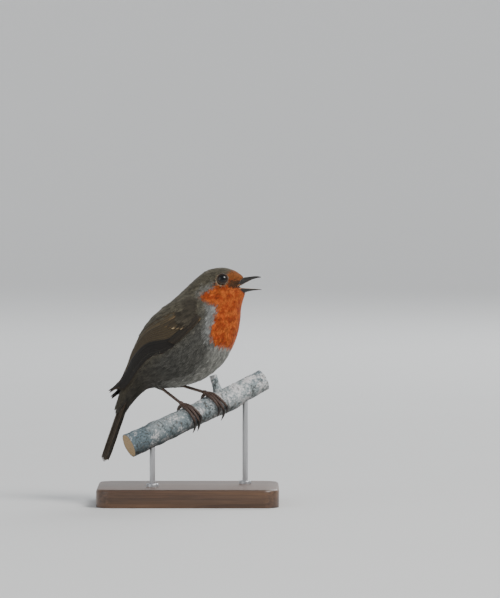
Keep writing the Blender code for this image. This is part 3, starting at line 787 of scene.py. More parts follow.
@dataclass
class Skin:
    """The bare form under the feathers, in one piece, open at the mouth and the eyes.

    Attributes:
        body, eyes, markings: The form under the coat, its eyes and its pattern.
        rings, turns: How many points it has along and round.
        depth: The coat's depth at each section.
        slack: How much wider the eye sockets are than the eyes.
    """

    body: Body
    eyes: Eyes
    markings: Markings
    rings: int = 150
    turns: int = 120
    depth: tuple[float, ...] = (
        0.45, 0.6, 0.8, 1.05, 1.4, 1.9, 2.3, 2.5, 2.5, 2.3, 1.9, 1.5, 1.1, 0.8)
    slack: float = 0.15

    def coat_depth(self, along: Array) -> Array:
        """How deep the coat is at sections of the body."""
        return curve(np.array(self.depth)[:, None], along)[..., 0]

    def _cutter(self) -> Piece:
        """A wedge that opens the face for the bill."""
        gape, top, chin = self.body.gape, self.body.culmen_base, self.body.chin
        front, high, low, half = 60.0, 136.0, 104.0, 14.0
        outline = [gape, top, (top[0] + 3, high), (front, high), (front, low),
                   (chin[0] + 2, low), chin]
        rings = np.array([[(f, out, u) for f, u in outline] for out in (-half, half)])
        return tube_shell(to_model(rings)).build("mouth_cutter", soft=False)

    def build(self) -> Piece:
        """Makes the skin with its markings."""
        along, turn = grid(np.linspace(0.0, len(self.depth) - 1.0, self.rings), circle(self.turns))
        rings = to_model(self.body.point(along, turn, -self.coat_depth(along)))
        skin = tube_shell(rings).build("skin")
        turn_outward(skin)
        cutters = [self._cutter()]
        turn_outward(cutters[0])
        for side in Side:
            centre = to_model(self.eyes.centre(self.body, side)) * MM
            deselect()
            bpy.ops.mesh.primitive_uv_sphere_add(
                segments=64, ring_count=32, radius=(self.eyes.radius + self.slack) * MM,
                location=centre)
            cutters.append(bpy.context.object)
        for cutter in cutters:
            apply_modifier(skin, "BOOLEAN", operation="DIFFERENCE", solver="EXACT", object=cutter)
            bpy.data.objects.remove(cutter, do_unlink=True)
        self._mark(skin)
        smooth(skin, 50.0)
        return skin

    def _mark(self, skin: Piece) -> None:
        """Writes the markings onto the skin's points."""
        points = from_model(points_of(skin))
        carry(skin, marks=self.markings.shares(points), face=self.markings.details(points))


# ---------------------------------------------------------------- small feathers
@dataclass(frozen=True)
class Tuft:
    """A small feather's form: a few closed, pointed locks that spread from one root.

    Attributes:
        locks: How many locks.
        stations: Shares of a lock's length where it has points; its tip is one more.
        girth: The lock's width at those stations.
        kinds: How many forms are drawn, which the feathers take in turn.
        thick: A lock's thickness as a share of its width.
        lock: A lock's width as a share of the feather's.
    """

    locks: int = 5
    stations: tuple[float, ...] = (0.0, 0.38, 0.74)
    girth: tuple[float, ...] = (0.46, 0.62, 0.42)
    kinds: int = 12
    thick: float = 0.34
    lock: float = 0.3

    def forms(self, random: Random) -> tuple[Array, Array]:
        """Draws the forms.

        Returns:
            For each form's points, the share along, across and up and which edge of its lock
            it is on, and for the same points the lock's own random number.
        """
        forms, lone = [], []
        for _ in range(self.kinds):
            rows, numbers = [], []
            for lock in range(self.locks):
                home = 2 * (lock + 0.5) / self.locks - 1
                reach = (1.0 - 0.22 * home**2) * random.uniform(0.80, 1.04)
                tip = home * random.uniform(0.75, 1.1) + random.uniform(-0.18, 0.18)
                lift = random.uniform(0.0, 0.5)
                number = random.uniform(0, 1)
                for share, width in zip(self.stations, self.girth):
                    x = share * reach
                    y = 0.5 * (home * 0.55 * (1 - share) + tip * share)
                    for edge, high in ((-1, 0.0), (1, 0.0), (0, 1.0)):
                        rows.append((x, y + edge * 0.5 * width * 0.55, high + lift * share, edge))
                        numbers.append(number)
                rows.append((reach, 0.5 * tip, lift, 0.0))
                numbers.append(number)
            forms.append(rows)
            lone.append(numbers)
        return np.array(forms), np.array(lone)

    def faces(self) -> tuple[Array, Array]:
        """Corners of one feather's four-cornered and three-cornered faces."""
        quads, triangles = [], []
        count = len(self.stations)
        for lock in range(self.locks):
            low = lock * (3 * count + 1)
            for step in range(count - 1):
                a = low + 3 * step
                for first, second in ((0, 1), (1, 2), (2, 0)):
                    quads.append((a + second, a + first, a + 3 + first, a + 3 + second))
            a, tip = low + 3 * (count - 1), low + 3 * count
            triangles += [(a + 1, a, tip), (a + 2, a + 1, tip), (a, a + 2, tip)]
            triangles.append((low, low + 1, low + 2))
        return np.array(quads), np.array(triangles)


@dataclass
class Roots:
    """Where small feathers stand on a surface, how they lie and how large they are.

    Attributes:
        along, across: The surface's two numbers at each root.
        turn: Angle from the surface's own lengthwise direction.
        length, width: Size in millimetres.
        low, high: Height over the surface at the root and at the tip.
        place: Where each root lies on the flat map, from 0 to 1.
    """

    along: Array
    across: Array
    turn: Array
    length: Array
    width: Array
    low: Array
    high: Array
    place: Array

    def only(self, chosen: Array) -> "Roots":
        """Keeps the chosen roots."""
        return Roots(*(getattr(self, name)[chosen] for name in self.__dataclass_fields__))


@dataclass
class Coat:
    """Lays small feathers on a surface.

    Attributes:
        markings: The pattern they carry.
        tuft: Their form.
        patch: The size of a feather's patch on the flat map.
        softness: How far their shading follows the surface under them instead of each lock.
        probes: How far apart the surface is read for its directions, at the roots and over
            the feathers.
        reading: How far along itself a feather reads the pattern, and how far that strays.
    """

    markings: Markings
    tuft: Tuft
    patch: float = 0.003
    softness: float = 0.8
    probes: tuple[float, float] = (0.01, 0.02)
    reading: tuple[float, float] = (0.7, 0.5)

    def lay(self, surface: Surface, roots: Roots, random: Random,
            shade: Array | float = 0.0) -> Shell:
        """Makes one shell of all the feathers.

        Args:
            surface: What they grow on.
            roots: Where and how.
            random: The source of their small differences.
            shade: How far each one has the wing's dark brown instead of the body's pattern.
        """
        forms, lone = self.tuft.forms(random)
        kind = random.integers(0, self.tuft.kinds, len(roots.along))
        form, number = forms[kind], lone[kind]
        step, small = self.probes
        base = surface.point(roots.along, roots.across, 0.0)
        by_along = (surface.point(roots.along + step, roots.across, 0.0) - base) / step
        by_across = (surface.point(roots.along, roots.across + step, 0.0) - base) / step
        ahead = unit(by_along)
        beside = unit(by_across - ahead * np.sum(by_across * ahead, -1, keepdims=True))
        cos_turn, sin_turn = np.cos(roots.turn)[:, None], np.sin(roots.turn)[:, None]
        ahead, beside = ahead * cos_turn + beside * sin_turn, beside * cos_turn - ahead * sin_turn
        a, b, c = (np.sum(first * second, -1) for first, second in (
            (by_along, by_along), (by_along, by_across), (by_across, by_across)))
        inverse = np.linalg.inv(np.stack([np.stack([a, b], -1), np.stack([b, c], -1)], -2))
        x = form[..., 0] * roots.length[:, None]
        y = form[..., 1] * roots.width[:, None]
        offset = x[..., None] * ahead[:, None] + y[..., None] * beside[:, None]
        dots = np.stack([np.einsum("nvi,ni->nv", offset, by_along),
                         np.einsum("nvi,ni->nv", offset, by_across)], -1)
        moved = np.einsum("nvk,nkm->nvm", dots, inverse)
        share = form[..., 0]
        lift = roots.low[:, None] + (roots.high - roots.low)[:, None] * share**0.8
        lift = lift + form[..., 2] * self.tuft.thick * self.tuft.lock * roots.width[:, None]
        along = roots.along[:, None] + moved[..., 0]
        across = roots.across[:, None] + moved[..., 1]
        points = surface.point(along, across, lift)
        first = surface.point(along + small, across, lift) - points
        second = surface.point(along, across + small, lift) - points
        normal = unit(np.cross(first, second))
        outward = surface.point(roots.along, roots.across, 0.1) - base
        facing = np.sum(normal * outward[:, None], -1, keepdims=True)
        whole = np.where(np.mean(facing, axis=1, keepdims=True) < 0, -normal, normal)
        edge = form[..., 3][..., None]
        normal = unit(whole + edge * (1.0 - self.softness) * 2.4 * beside[:, None])
        seen = base + ahead * (self.reading[0] * roots.length)[:, None]
        seen = seen + random.normal(0, self.reading[1], seen.shape)
        marks, face = self.markings.shares(seen), self.markings.details(seen)
        shade = np.broadcast_to(shade, roots.along.shape)[:, None]
        marks = marks * (1.0 - np.clip(4.0 * shade, 0.0, 1.0))
        face = face + shade * (0.0, 0.0, 0.0, 1.0)
        return self._shell(points, normal, marks, face, form, number, roots, random)

    def _shell(self, points: Array, normal: Array, marks: Array, face: Array, form: Array,
               number: Array, roots: Roots, random: Random) -> Shell:
        """Puts the feathers' points, faces, colours and map into one shell."""
        count, size = form.shape[:2]
        quads, triangles = self.tuft.faces()
        shift = (np.arange(count) * size)[:, None, None]
        faces = [(group[None] + shift).reshape(-1, group.shape[1]) for group in (quads, triangles)]
        lone = np.repeat(random.uniform(0, 1, count)[:, None], size, 1)
        layers = {"marks": np.repeat(marks, size, 0), "face": np.repeat(face, size, 0),
                  "tuft": np.stack([form[..., 0], form[..., 1] + 0.5, lone, number], -1)}
        spot = roots.place[:, None] + self.patch * np.stack([form[..., 0] - 0.5, form[..., 1]], -1)
        made = Shell(
            to_model(points).reshape(-1, 3), faces,
            {name: values.reshape(-1, 4) for name, values in layers.items()},
            to_model(normal).reshape(-1, 3), np.clip(spot, 0.001, 0.999).reshape(-1, 2))
        return made.turned_out()


@dataclass
class BodyCoat:
    """The small feathers of the head, neck, trunk and tail coverts, region by region.

    Attributes:
        skin: The form they grow from.
        coat: What lays them.
        lengths: Feather length at each section.
        spacing: Distance along between rows, and across, as shares of the length.
        width_share: A feather's width as a share of its length.
        ends: How far from the first and the last section the rows start and end.
        flank: The angle round the body at which the rows' distance is measured.
        stray: How far feathers stray from their rows, as a share of the distance between.
        ring_tries: How many places are tried for the tiny feathers of the eye ring.
        ring: Distances from the eye's middle between which those stand.
        ring_levels: How deep their roots lie, and how much higher their tips.
        eye_gap: How near the eye's middle the first feathers stand.
        regions: Each piece's name, its first and last section, and whether it covers the
            lower half, the upper half or both.
    """

    skin: Skin
    coat: Coat
    lengths: tuple[float, ...] = (
        1.5, 1.8, 2.4, 3.3, 4.6, 6.0, 7.2, 7.8, 8.2, 8.4, 8.4, 8.0, 7.0, 5.5)
    spacing: tuple[float, float] = (0.165, 0.125)
    width_share: float = 0.34
    ends: tuple[float, float] = (0.05, 0.35)
    flank: float = 1.4
    stray: float = 0.4
    ring_tries: int = 9000
    ring: tuple[float, float] = (2.85, 3.5)
    ring_levels: tuple[float, float] = (-0.3, 0.45)
    eye_gap: float = 3.0
    regions: tuple[tuple[str, float, float, bool | None], ...] = (
        ("face", 0.0, 2.7, None), ("crown", 2.7, 4.6, False), ("throat", 2.7, 4.6, True),
        ("mantle", 4.6, 6.9, False), ("back", 6.9, 9.6, False), ("breast", 4.6, 7.0, True),
        ("belly", 7.0, 9.6, True), ("rump", 9.6, math.inf, None),
    )

    def roots(self, random: Random) -> Roots:
        """Spreads roots over the whole body in staggered, ruffled rows."""
        body, step, stray = self.skin.body, 0.05, self.stray
        lengths = np.array(self.lengths)[:, None]
        at, rows = self.ends[0], []
        while at < len(self.lengths) - 1 - self.ends[1]:
            length = float(curve(lengths, np.array(at))[0])
            rows.append((at, length))
            side, back = (body.point(np.array([at, at + step]), np.full(2, turn))
                          for turn in (self.flank, 0.0))
            pace = np.linalg.norm(side[1] - side[0]) + np.linalg.norm(back[1] - back[0])
            at += self.spacing[0] * length / (pace / (2 * step))
        along, across, size = [], [], []
        angles = np.linspace(0, 2 * np.pi, 97)
        for index, (at, length) in enumerate(rows):
            pieces = np.diff(body.point(np.full(angles.shape, at), angles), axis=0)
            steps = np.concatenate([[0.0], np.cumsum(np.linalg.norm(pieces, axis=1))])
            count = max(6, round(steps[-1] / (self.spacing[1] * length + 0.2)))
            spots = (np.arange(count) + 0.5 * (index % 2)) / count * steps[-1]
            turn = np.interp(spots, steps, angles)
            pace = rows[max(index, 1)][0] - rows[max(index, 1) - 1][0]
            along.append(at + random.uniform(-stray, stray, count) * pace)
            across.append(turn + random.uniform(-stray, stray, count) * 2 * np.pi / count)
            size.append(np.full(count, length))
        count = self.ring_tries
        along += [random.uniform(1.5, 4.2, count)]
        across += [random.uniform(0.6, 2.6, count) * random.choice((-1, 1), count)]
        size += [np.full(count, 0.0)]
        along, across, length = map(np.concatenate, (along, across, size))
        return self._dressed(np.maximum(along, 0.0), across, length, random)

    def _dressed(self, along: Array, across: Array, length: Array, random: Random) -> Roots:
        """Gives roots their lie and size, and leaves out those in the mouth and the eyes."""
        body, eyes = self.skin.body, self.skin.eyes
        spot = body.point(along, across)
        side = spot[:, (0, 2)]
        behind = body.mouth_distance(side[:, 0], side[:, 1])
        from_eye = side - np.array(eyes.place)
        reach = np.linalg.norm(from_eye, axis=1)
        ring = length == 0.0
        length = length * np.clip(0.42 + (reach - self.eye_gap) / 9.0, 0.42, 1.0)
        length = length * np.clip(0.55 + behind / 9.0, 0.5, 1.0)
        turn = self._round_eye(along, across, from_eye, reach)
        turn += random.normal(0, 0.10, len(along))
        length = np.where(ring, random.uniform(0.75, 1.05, len(along)), length)
        depth = self.skin.coat_depth(along)
        high = random.uniform(-0.22, 0.02, len(along)) * np.clip(length / 4, 0.5, 1.0)
        place = np.stack([0.02 + 0.96 * along / (len(self.lengths) - 1),
                          0.02 + 0.96 * np.mod(across, 2 * np.pi) / (2 * np.pi)], -1)
        length = length * random.uniform(0.86, 1.14, len(along))
        high = np.where(ring, high + self.ring_levels[1], high)
        roots = Roots(along, across, turn, length, self.width_share * length + 0.25,
                      np.where(ring, self.ring_levels[0], -0.94 * depth), high, place)
        near = (reach > self.ring[0]) & (reach < self.ring[1])
        return roots.only((behind > 0.12) & np.where(ring, near, reach > self.eye_gap))

    def _round_eye(self, along: Array, across: Array, from_eye: Array, reach: Array) -> Array:
        """How far feathers near an eye turn from the body's own flow, to run round it."""
        body, step = self.skin.body, 0.02
        here, later = body.point(along, across), body.point(along + step, across)
        aside = body.point(along, across + step)
        flow = unit((later - here)[:, (0, 2)])
        size = self.eye_gap + 0.4
        out = from_eye / reach[:, None]
        pull = (size / np.maximum(reach, size)) ** 2
        inward = np.sum(flow * out, 1, keepdims=True)
        turned = flow - pull[:, None] * (2 * inward * out - flow)
        turned = np.where(pull[:, None] > 0.02, unit(turned), flow)
        cross = unit((aside - here)[:, (0, 2)])
        kept = np.sum(turned * flow, 1)
        swerve = np.sum(turned * cross, 1) - np.sum(flow * cross, 1) * kept
        return np.arctan2(swerve, np.maximum(kept, 0.05))

    def build(self, random: Random) -> list[Piece]:
        """Makes the coat, in pieces by region."""
        roots = self.roots(random)
        low = np.cos(roots.across) < 0
        made = []
        for name, start, end, below in self.regions:
            chosen = (roots.along >= start) & (roots.along < end)
            chosen &= True if below is None else low == below
            shell = self.coat.lay(self.skin.body, roots.only(chosen), random)
            made.append(shell.build(f"coat_{name}"))
        return made


# ---------------------------------------------------------------- large feathers
@dataclass(frozen=True)
class Vane:
    """The form of a large feather: a thin closed blade with a raised shaft.

    Attributes:
        outer, inner: The vane's width on each side of the shaft.
        shoulder: Share of the length where the tip starts to round off.
        point: How pointed the tip is, where 0.5 is round.
        stem: Share of the length over which the base widens.
        camber: How far the blade arches up at the shaft.
        shaft: The shaft's height at the base.
        thick: The blade's thickness.
        rows, columns: How many points it has along, and across on each side.
    """

    outer: float
    inner: float
    shoulder: float = 0.6
    point: float = 0.62
    stem: float = 0.12
    camber: float = 0.35
    shaft: float = 0.24
    thick: float = 0.16
    rows: int = 26
    columns: tuple[float, ...] = (0.07, 0.34, 0.68, 1.0)

    def width(self, along: Array) -> Array:
        """The vane's width at shares of the length, as a share of its widest."""
        start = np.clip(along / self.stem, 0.0, 1.0) ** 0.6
        late = np.clip((along - self.shoulder) / (1.0 - self.shoulder), 0.0, 1.0)
        return np.maximum((0.25 + 0.75 * start) * (1.0 - late**2) ** self.point, 0.015)

    def shell(self, place: Callable[[Array, Array, Array], Array], tone: Sequence[float],
              strip: tuple[int, int], random: Random) -> Shell:
        """Makes one feather.

        Args:
            place: Turns a share of the length, a distance to the outer side and a height
                into a point of the bird.
            tone: Shares of pale fringe, pale tip, olive and darkness.
            strip: Which strip of the flat map it has, and out of how many.
            random: The source of its own shade.
        """
        along = 1.0 - (1.0 - np.linspace(0.0, 1.0, self.rows)) ** 1.45
        sides = np.array([-v for v in self.columns[::-1]] + [0.0] + list(self.columns))
        t, v = grid(along, sides)
        width = self.width(t)
        ragged = 1.0 + 0.05 * np.sin(37.0 * t + random.uniform(0, 6)) * (np.abs(v) > 0.99)
        y = np.where(v > 0, v * self.outer, v * self.inner) * width * ragged
        rise = self.camber * (1.0 - v**2) * width
        ridge = self.shaft * np.exp(-((y / 0.22) ** 2)) * (1.0 - 0.75 * t)
        thin = self.thick * (1.0 - 0.75 * v**2)
        top, low = place(t, y, rise + ridge), place(t, y, rise - thin)
        lone = random.uniform(0, 1)
        vane = np.stack([t, 0.5 + 0.5 * v, np.full(t.shape, lone), np.zeros(t.shape)], -1)
        beside = (strip[0] + 0.08 + 0.84 * (0.5 + 0.5 * v)) / strip[1]
        flat = np.stack([beside, 0.02 + 0.96 * t], -1)
        rows, columns = t.shape
        sheet = grid_faces(rows, columns, False)
        back = sheet[:, ::-1] + rows * columns
        rim = [(i, 0) for i in range(rows - 1)] + [(rows - 1, j) for j in range(columns - 1)]
        rim += [(i, columns - 1) for i in range(rows - 1, 0, -1)]
        rim += [(0, j) for j in range(columns - 1, 0, -1)]
        ids = [i * columns + j for i, j in rim]
        below = rows * columns
        walls = [(a, a + below, b + below, b) for a, b in zip(ids, ids[1:] + ids[:1])]
        made = Shell(
            to_model(np.concatenate([top.reshape(-1, 3), low.reshape(-1, 3)])),
            [np.concatenate([sheet, back, np.array(walls)])],
            {"vane": np.tile(vane.reshape(-1, 4), (2, 1)),
             "tone": np.tile(np.array(tone, float), (2 * below, 1))},
            places=np.tile(flat.reshape(-1, 2), (2, 1)))
        return made.turned_out()


@dataclass(frozen=True)
class Flight:
    """The finish of the large feathers: brown webs, a dark shaft and pale fringes."""

    brown: Colour = (0.044, 0.030, 0.015)
    olive: Colour = (0.072, 0.054, 0.029)
    dark: Colour = (0.015, 0.013, 0.011)
    fringe: Colour = (0.230, 0.138, 0.062)
    spot: Colour = (0.32, 0.24, 0.14)

    def paint(self) -> Material:
        """Makes the material, whose pattern follows each feather."""
        paint = Paint("flight_feathers")
        along, across = paint.carried("vane", "x"), paint.carried("vane", "y")
        lone = paint.carried("vane", "z")
        slant = (across - 0.5).maths("ABSOLUTE")
        spot = paint.spot((along - slant * 0.22) * 95.0, across * 5.0, lone * 17.0)
        barbs = paint.noise(1.0, 3.0, spot, 0.6)
        colour = paint.mix(paint.carried("tone", "z"), self.brown, self.olive)
        colour = paint.mix(paint.carried("tone", "w"), colour, self.dark)
        inner = across.eased(0.5, 0.30)
        colour = paint.mix(inner * 0.55, colour, self.dark)
        fringe = across.eased(0.74, 0.92) * paint.carried("tone", "x")
        colour = paint.mix(fringe, colour, self.fringe)
        tip = (along + slant * 0.05).eased(0.975, 0.998) * paint.carried("tone", "x") * 0.5
        colour = paint.mix(tip, colour, self.fringe)
        pale = (along + barbs * 0.08 - slant * 0.16).eased(0.85, 0.91)
        pale = pale * across.eased(0.60, 0.70) * across.eased(0.98, 0.88)
        colour = paint.mix(pale * paint.carried("tone", "y"), colour, self.spot)
        shaft = slant.eased(0.045, 0.015)
        colour = paint.mix(shaft * 0.75, colour, self.dark)
        colour = paint.shaded(colour, 0.46 + barbs * 0.60 + lone * 0.48)
        return paint.done(Base_Color=colour, Roughness=0.58 + barbs * 0.2,
                          Normal=paint.bump(barbs, 0.00012, 0.6), Specular_IOR_Level=0.22,
                          Sheen_Weight=0.08, Sheen_Roughness=0.5)


@dataclass(frozen=True)
class Wing:
    """One folded wing, as a curved sheet with two numbers for each place.

    Attributes:
        body, side: What it lies on, and on which side.
        edges: For each station from the bend to the tip, the upper edge's forward, up and out
            and the lower edge's.
        proud: How far the wing stands off the body.
        bulge: How far its middle arches out.
        blend: How softly the body pushes it out.
        droop: How much further back and lower the left wing's tip hangs.
    """

    body: Body
    side: Side
    edges: tuple[tuple[float, ...], ...] = (
        (11.6, 110.5, 10.6, 11.4, 105.4, 12.0),
        (3.0, 113.6, 10.0, 3.6, 96.4, 15.4),
        (-9.6, 107.2, 8.6, -8.6, 85.4, 17.6),
        (-21.2, 98.6, 6.0, -19.6, 81.2, 15.6),
        (-29.4, 87.0, 4.2, -27.4, 73.6, 11.8),
        (-35.4, 73.0, 3.8, -34.8, 64.2, 8.4),
        (-43.2, 62.2, 4.8, -42.8, 60.9, 5.4),
    )
    proud: float = 0.9
    bulge: float = 1.6
    blend: float = 1.5
    droop: tuple[float, float] = (-0.6, -3.8)

    def sheet(self, along: Array, across: Array) -> Array:
        """Points of the wing's outer face, from station and share down."""
        along, across = both(along, across)
        values = curve(np.array(self.edges), along)
        high, low = values[..., :3], values[..., 3:]
        forward, up, out = np.moveaxis(high + (low - high) * across[..., None], -1, 0)
        body = self.body.half_width(forward, up)
        rise = self.proud * ease(across, -0.16, 0.06)
        out = out + self.bulge * np.sin(np.pi * np.clip(across, 0.0, 1.0))
        out = 0.5 * (out + body + rise + np.hypot(out - body - rise, self.blend))
        hugging = np.maximum(body, 3.0) + rise
        out = hugging + (out - hugging) * ease(across, -0.14, 0.10)
        if self.side is Side.LEFT:
            share = np.maximum(along, 0.0) / (len(self.edges) - 1)
            forward = forward + self.droop[0] * share**2
            up = up + self.droop[1] * share**2
        return np.stack([forward, out * self.side.value, up], -1)

    def slopes(self, along: Array, across: Array) -> tuple[Array, Array, Array]:
        """How the sheet's points move with each number, and its outward direction."""
        step = 0.02
        by_along, by_across = (
            (self.sheet(along + a, across + b) - self.sheet(along - a, across - b)) / (2 * step)
            for a, b in ((step, 0.0), (0.0, step)))
        normal = unit(np.cross(by_along, by_across))
        inward = (normal[..., 1] * self.side.value < 0)[..., None]
        return by_along, by_across, np.where(inward, -normal, normal)

    def point(self, along: Array, across: Array, lift: Array | float = 0.0) -> Array:
        """Points at a height over the sheet."""
        normal = self.slopes(along, across)[2]
        return self.sheet(along, across) + normal * np.asarray(lift, float)[..., None]

    def laid(self, root: Array, tip: Array, low: float, high: float,
             bend: float) -> Callable[[Array, Array, Array], Array]:
        """Lays a feather's length on the sheet, from a root to a tip.

        Args:
            root, tip: Station and share down at its ends.
            low, high: Height over the sheet at the root and at the tip.
            bend: How far its middle bows down the wing, as a share.

        Returns:
            What turns a share along, a distance to the outer side and a height into a point.
        """

        def place(share: Array, out: Array, lift: Array) -> Array:
            """Lays one point of the feather over the sheet."""
            along = root[0] + (tip[0] - root[0]) * share
            across = root[1] + (tip[1] - root[1]) * share + bend * 4 * share * (1 - share)
            by_along, by_across, normal = self.slopes(along, across)
            rate = tip[1] - root[1] + bend * 4 * (1 - 2 * share)
            heading = unit(by_along * (tip[0] - root[0]) + by_across * rate[..., None])
            outer = unit(np.cross(normal, heading))
            outer = np.where(np.sum(outer * by_across, -1, keepdims=True) < 0, -outer, outer)
            a, b = np.sum(by_along**2, -1), np.sum(by_along * by_across, -1)
            c = np.sum(by_across**2, -1)
            first, second = np.sum(outer * by_along, -1), np.sum(outer * by_across, -1)
            scale = out / (a * c - b * b)
            along = along + scale * (c * first - b * second)
            across = across + scale * (a * second - b * first)
            level = low + (high - low) * share + lift
            return self.sheet(along, across) + normal * level[..., None]

        return place


@dataclass(frozen=True)
class Row:
    """A row of large feathers of one kind, each a step on from the one before.

    Attributes:
        count: How many feathers.
        vane: Their form.
        ends: The first one's station and share down at its root, and at its tip.
        steps: What those grow by from one feather to the next.
        heights: Height over the wing's sheet at the first one's root and tip.
        climb: What those heights grow by.
        tone: The first one's shares of pale fringe, pale tip, olive and darkness.
        fade: What those grow by.
        bend: How far each bows down the wing.
        tips: Each tip's station and share down, where they follow no even step.
        extras: More pale tip and darkness for each of the first feathers.
    """

    count: int
    vane: Vane
    ends: tuple[float, ...]
    steps: tuple[float, ...]
    heights: tuple[float, float]
    climb: tuple[float, float]
    tone: tuple[float, ...]
    fade: tuple[float, ...] = (0.0, 0.0, 0.0, 0.0)
    bend: float = 0.0
    tips: tuple[tuple[float, float], ...] = ()
    extras: tuple[tuple[float, float], ...] = ()

    def laid(self, wing: Wing) -> list[tuple[Vane, Any, Array]]:
        """Each feather's form, place and tone."""
        made = []
        for k in range(self.count):
            ends = np.array(self.ends) + np.array(self.steps) * k
            tone = np.array(self.tone) + np.array(self.fade) * k
            if self.tips:
                ends[2:] = self.tips[k]
            if k < len(self.extras):
                tone[[1, 3]] += self.extras[k]
            levels = (height + climb * k for height, climb in zip(self.heights, self.climb))
            made.append((self.vane, wing.laid(ends[:2], ends[2:], *levels, self.bend), tone))
        return made


@dataclass(frozen=True)
class WingFeathers:
    """All the feathers of one folded wing.

    Attributes:
        wing: The sheet that they lie on.
        coat: What lays the small ones.
        rows: The primaries, secondaries, tertials, primary coverts, alula and greater coverts.
    """

    wing: Wing
    coat: Coat
    rows: tuple[Row, ...] = (
        # The primaries take full darkness: their own dark brown, deepened as painted shade along
        # the wing's lower edge.
        Row(9, Vane(0.95, 3.4, shoulder=0.70, point=0.75, rows=34), (1.15, 0.985, 0.0, 0.0),
            (0.03, -0.018, 0.0, 0.0), (-1.75, -1.50), (0.13, 0.13), (0.12, 0.0, 0.0, 1.0),
            (0.04, 0.0, 0.0, 0.0),
            tips=((5.52, 0.97), (5.86, 0.84), (6.02, 0.62), (6.05, 0.50), (5.90, 0.42),
                  (5.72, 0.36), (5.55, 0.31), (5.40, 0.26), (5.27, 0.22))),
        Row(6, Vane(1.15, 3.6, shoulder=0.80, point=0.55, rows=34), (1.35, 0.80, 5.08, 0.135),
            (0.02, -0.075, -0.11, -0.004), (-0.62, -0.57), (0.10, 0.10), (0.95, 0.0, 0.45, 0.0),
            bend=0.02),
        Row(3, Vane(2.5, 2.6, shoulder=0.70, point=0.60, rows=32), (1.55, 0.36, 0.0, 0.0),
            (0.0, -0.11, 0.0, 0.0), (-0.05, -0.05), (0.13, 0.13), (0.55, 0.0, 0.75, 0.0),
            bend=0.02, tips=((4.42, 0.10), (3.98, 0.06), (3.50, 0.03))),
        Row(6, Vane(0.75, 1.6, shoulder=0.7, rows=18), (0.62, 0.985, 1.72, 0.970),
            (0.0, -0.030, 0.04, -0.030), (-0.70, -0.35), (0.07, 0.07), (0.12, 0.0, 0.0, 0.7)),
        Row(3, Vane(0.9, 1.5, shoulder=0.6, rows=16), (0.42, 0.95, 1.20, 0.97),
            (0.0, -0.05, -0.18, -0.06), (-0.40, 0.02), (0.0, 0.06), (0.18, 0.0, 0.1, 0.6)),
        Row(10, Vane(1.7, 2.3, shoulder=0.62, point=0.5, rows=20), (0.30, 0.88, 1.10, 0.90),
            (0.1716, -0.088, 0.1716, -0.088), (-0.90, 0.02), (0.05, 0.05), (0.35, 0.0, 0.30, 0.0),
            (0.0, 0.0, 0.05, 0.0),
            extras=((0.0, 0.35), (0.0, 0.35), (0.6, 0.35), (0.65, 0.35), (1.0, 0.0))),
    )

    def large(self, random: Random) -> Piece:
        """Makes the large feathers as one piece."""
        laid = [feather for row in self.rows for feather in row.laid(self.wing)]
        shells = [vane.shell(place, tone, (index, len(laid)), random)
                  for index, (vane, place, tone) in enumerate(laid)]
        return Shell.joined(shells).build(f"flight_{self.wing.side.name.lower()}")

    @staticmethod
    def _spread(rows: Sequence[float], span: Callable[[float], tuple[float, float]],
                length: Callable[[float], float], gap: float, random: Random,
                levels: tuple[float, float], width: float = 0.42) -> Roots:
        """Spreads small feathers in rows across the wing.

        Args:
            rows: The rows' stations.
            span: Turns a row's station into the shares down where it starts and ends.
            length: Turns a row's station into its feathers' length.
            gap: The distance between feathers in a row.
            random: The source of their small differences.
            levels: Height over the sheet at the roots and at the tips.
            width: A feather's width as a share of its length.
        """
        along, across, size = [], [], []
        for index, at in enumerate(rows):
            low, high = span(at)
            count = max(3, round(abs(high - low) * 16.0 / gap))
            along.append(at + random.uniform(-0.03, 0.03, count))
            spots = (np.arange(count) + 0.5 * (index % 2) + 0.25) / count
            across.append(low + (high - low) * spots + random.uniform(-0.01, 0.01, count))
            size.append(np.full(count, length(at)) * random.uniform(0.88, 1.12, count))
        along, across, size = map(np.concatenate, (along, across, size))
        sink = 1.8 * ease(along, 0.95, 0.15)
        high = levels[1] - sink + random.uniform(-0.12, 0.12, len(along))
        high = high - 0.28 * np.maximum(along - 1.0, 0.0) - 0.9 * ease(across, 0.04, -0.16)
        place = np.stack([0.04 + 0.9 * np.clip(along / 4.0, 0, 1),
                          0.04 + 0.9 * np.clip(across + 0.05, 0, 1)], -1)
        return Roots(along, across, random.normal(0, 0.09, len(along)), size, width * size,
                     levels[0] - sink, high, place)

    def small(self, random: Random) -> Piece:
        """Makes the lesser and median coverts, and the scapulars over the wing's upper edge."""
        lesser = self._spread(
            np.linspace(-0.15, 1.25, 18), lambda at: (0.0, 1.02 - 0.12 * max(at - 0.6, 0)),
            lambda at: 3.6 + 2.0 * max(at, 0.0), 0.95, random, (-0.5, 0.72))
        lesser = lesser.only(lesser.across < 1.08 - 0.42 * lesser.along)
        scapular = self._spread(
            np.linspace(0.35, 3.1, 22), lambda at: (-0.16, 0.27 - 0.055 * at),
            lambda at: 6.4 + 0.9 * min(at, 2.0), 1.15, random, (-0.7, 1.0), 0.32)
        over = self.wing.sheet(scapular.along, scapular.across)
        scapular = scapular.only(self.wing.body.half_width(over[:, 0], over[:, 2]) > 4.0)
        shades = (0.75 * ease(lesser.along, 0.1, 0.7), 0.06 * ease(scapular.along, 0.4, 1.6))
        shells = [self.coat.lay(self.wing, roots, random, shade)
                  for roots, shade in zip((lesser, scapular), shades)]
        return Shell.joined(shells).turned_out().build(f"coverts_{self.wing.side.name.lower()}")


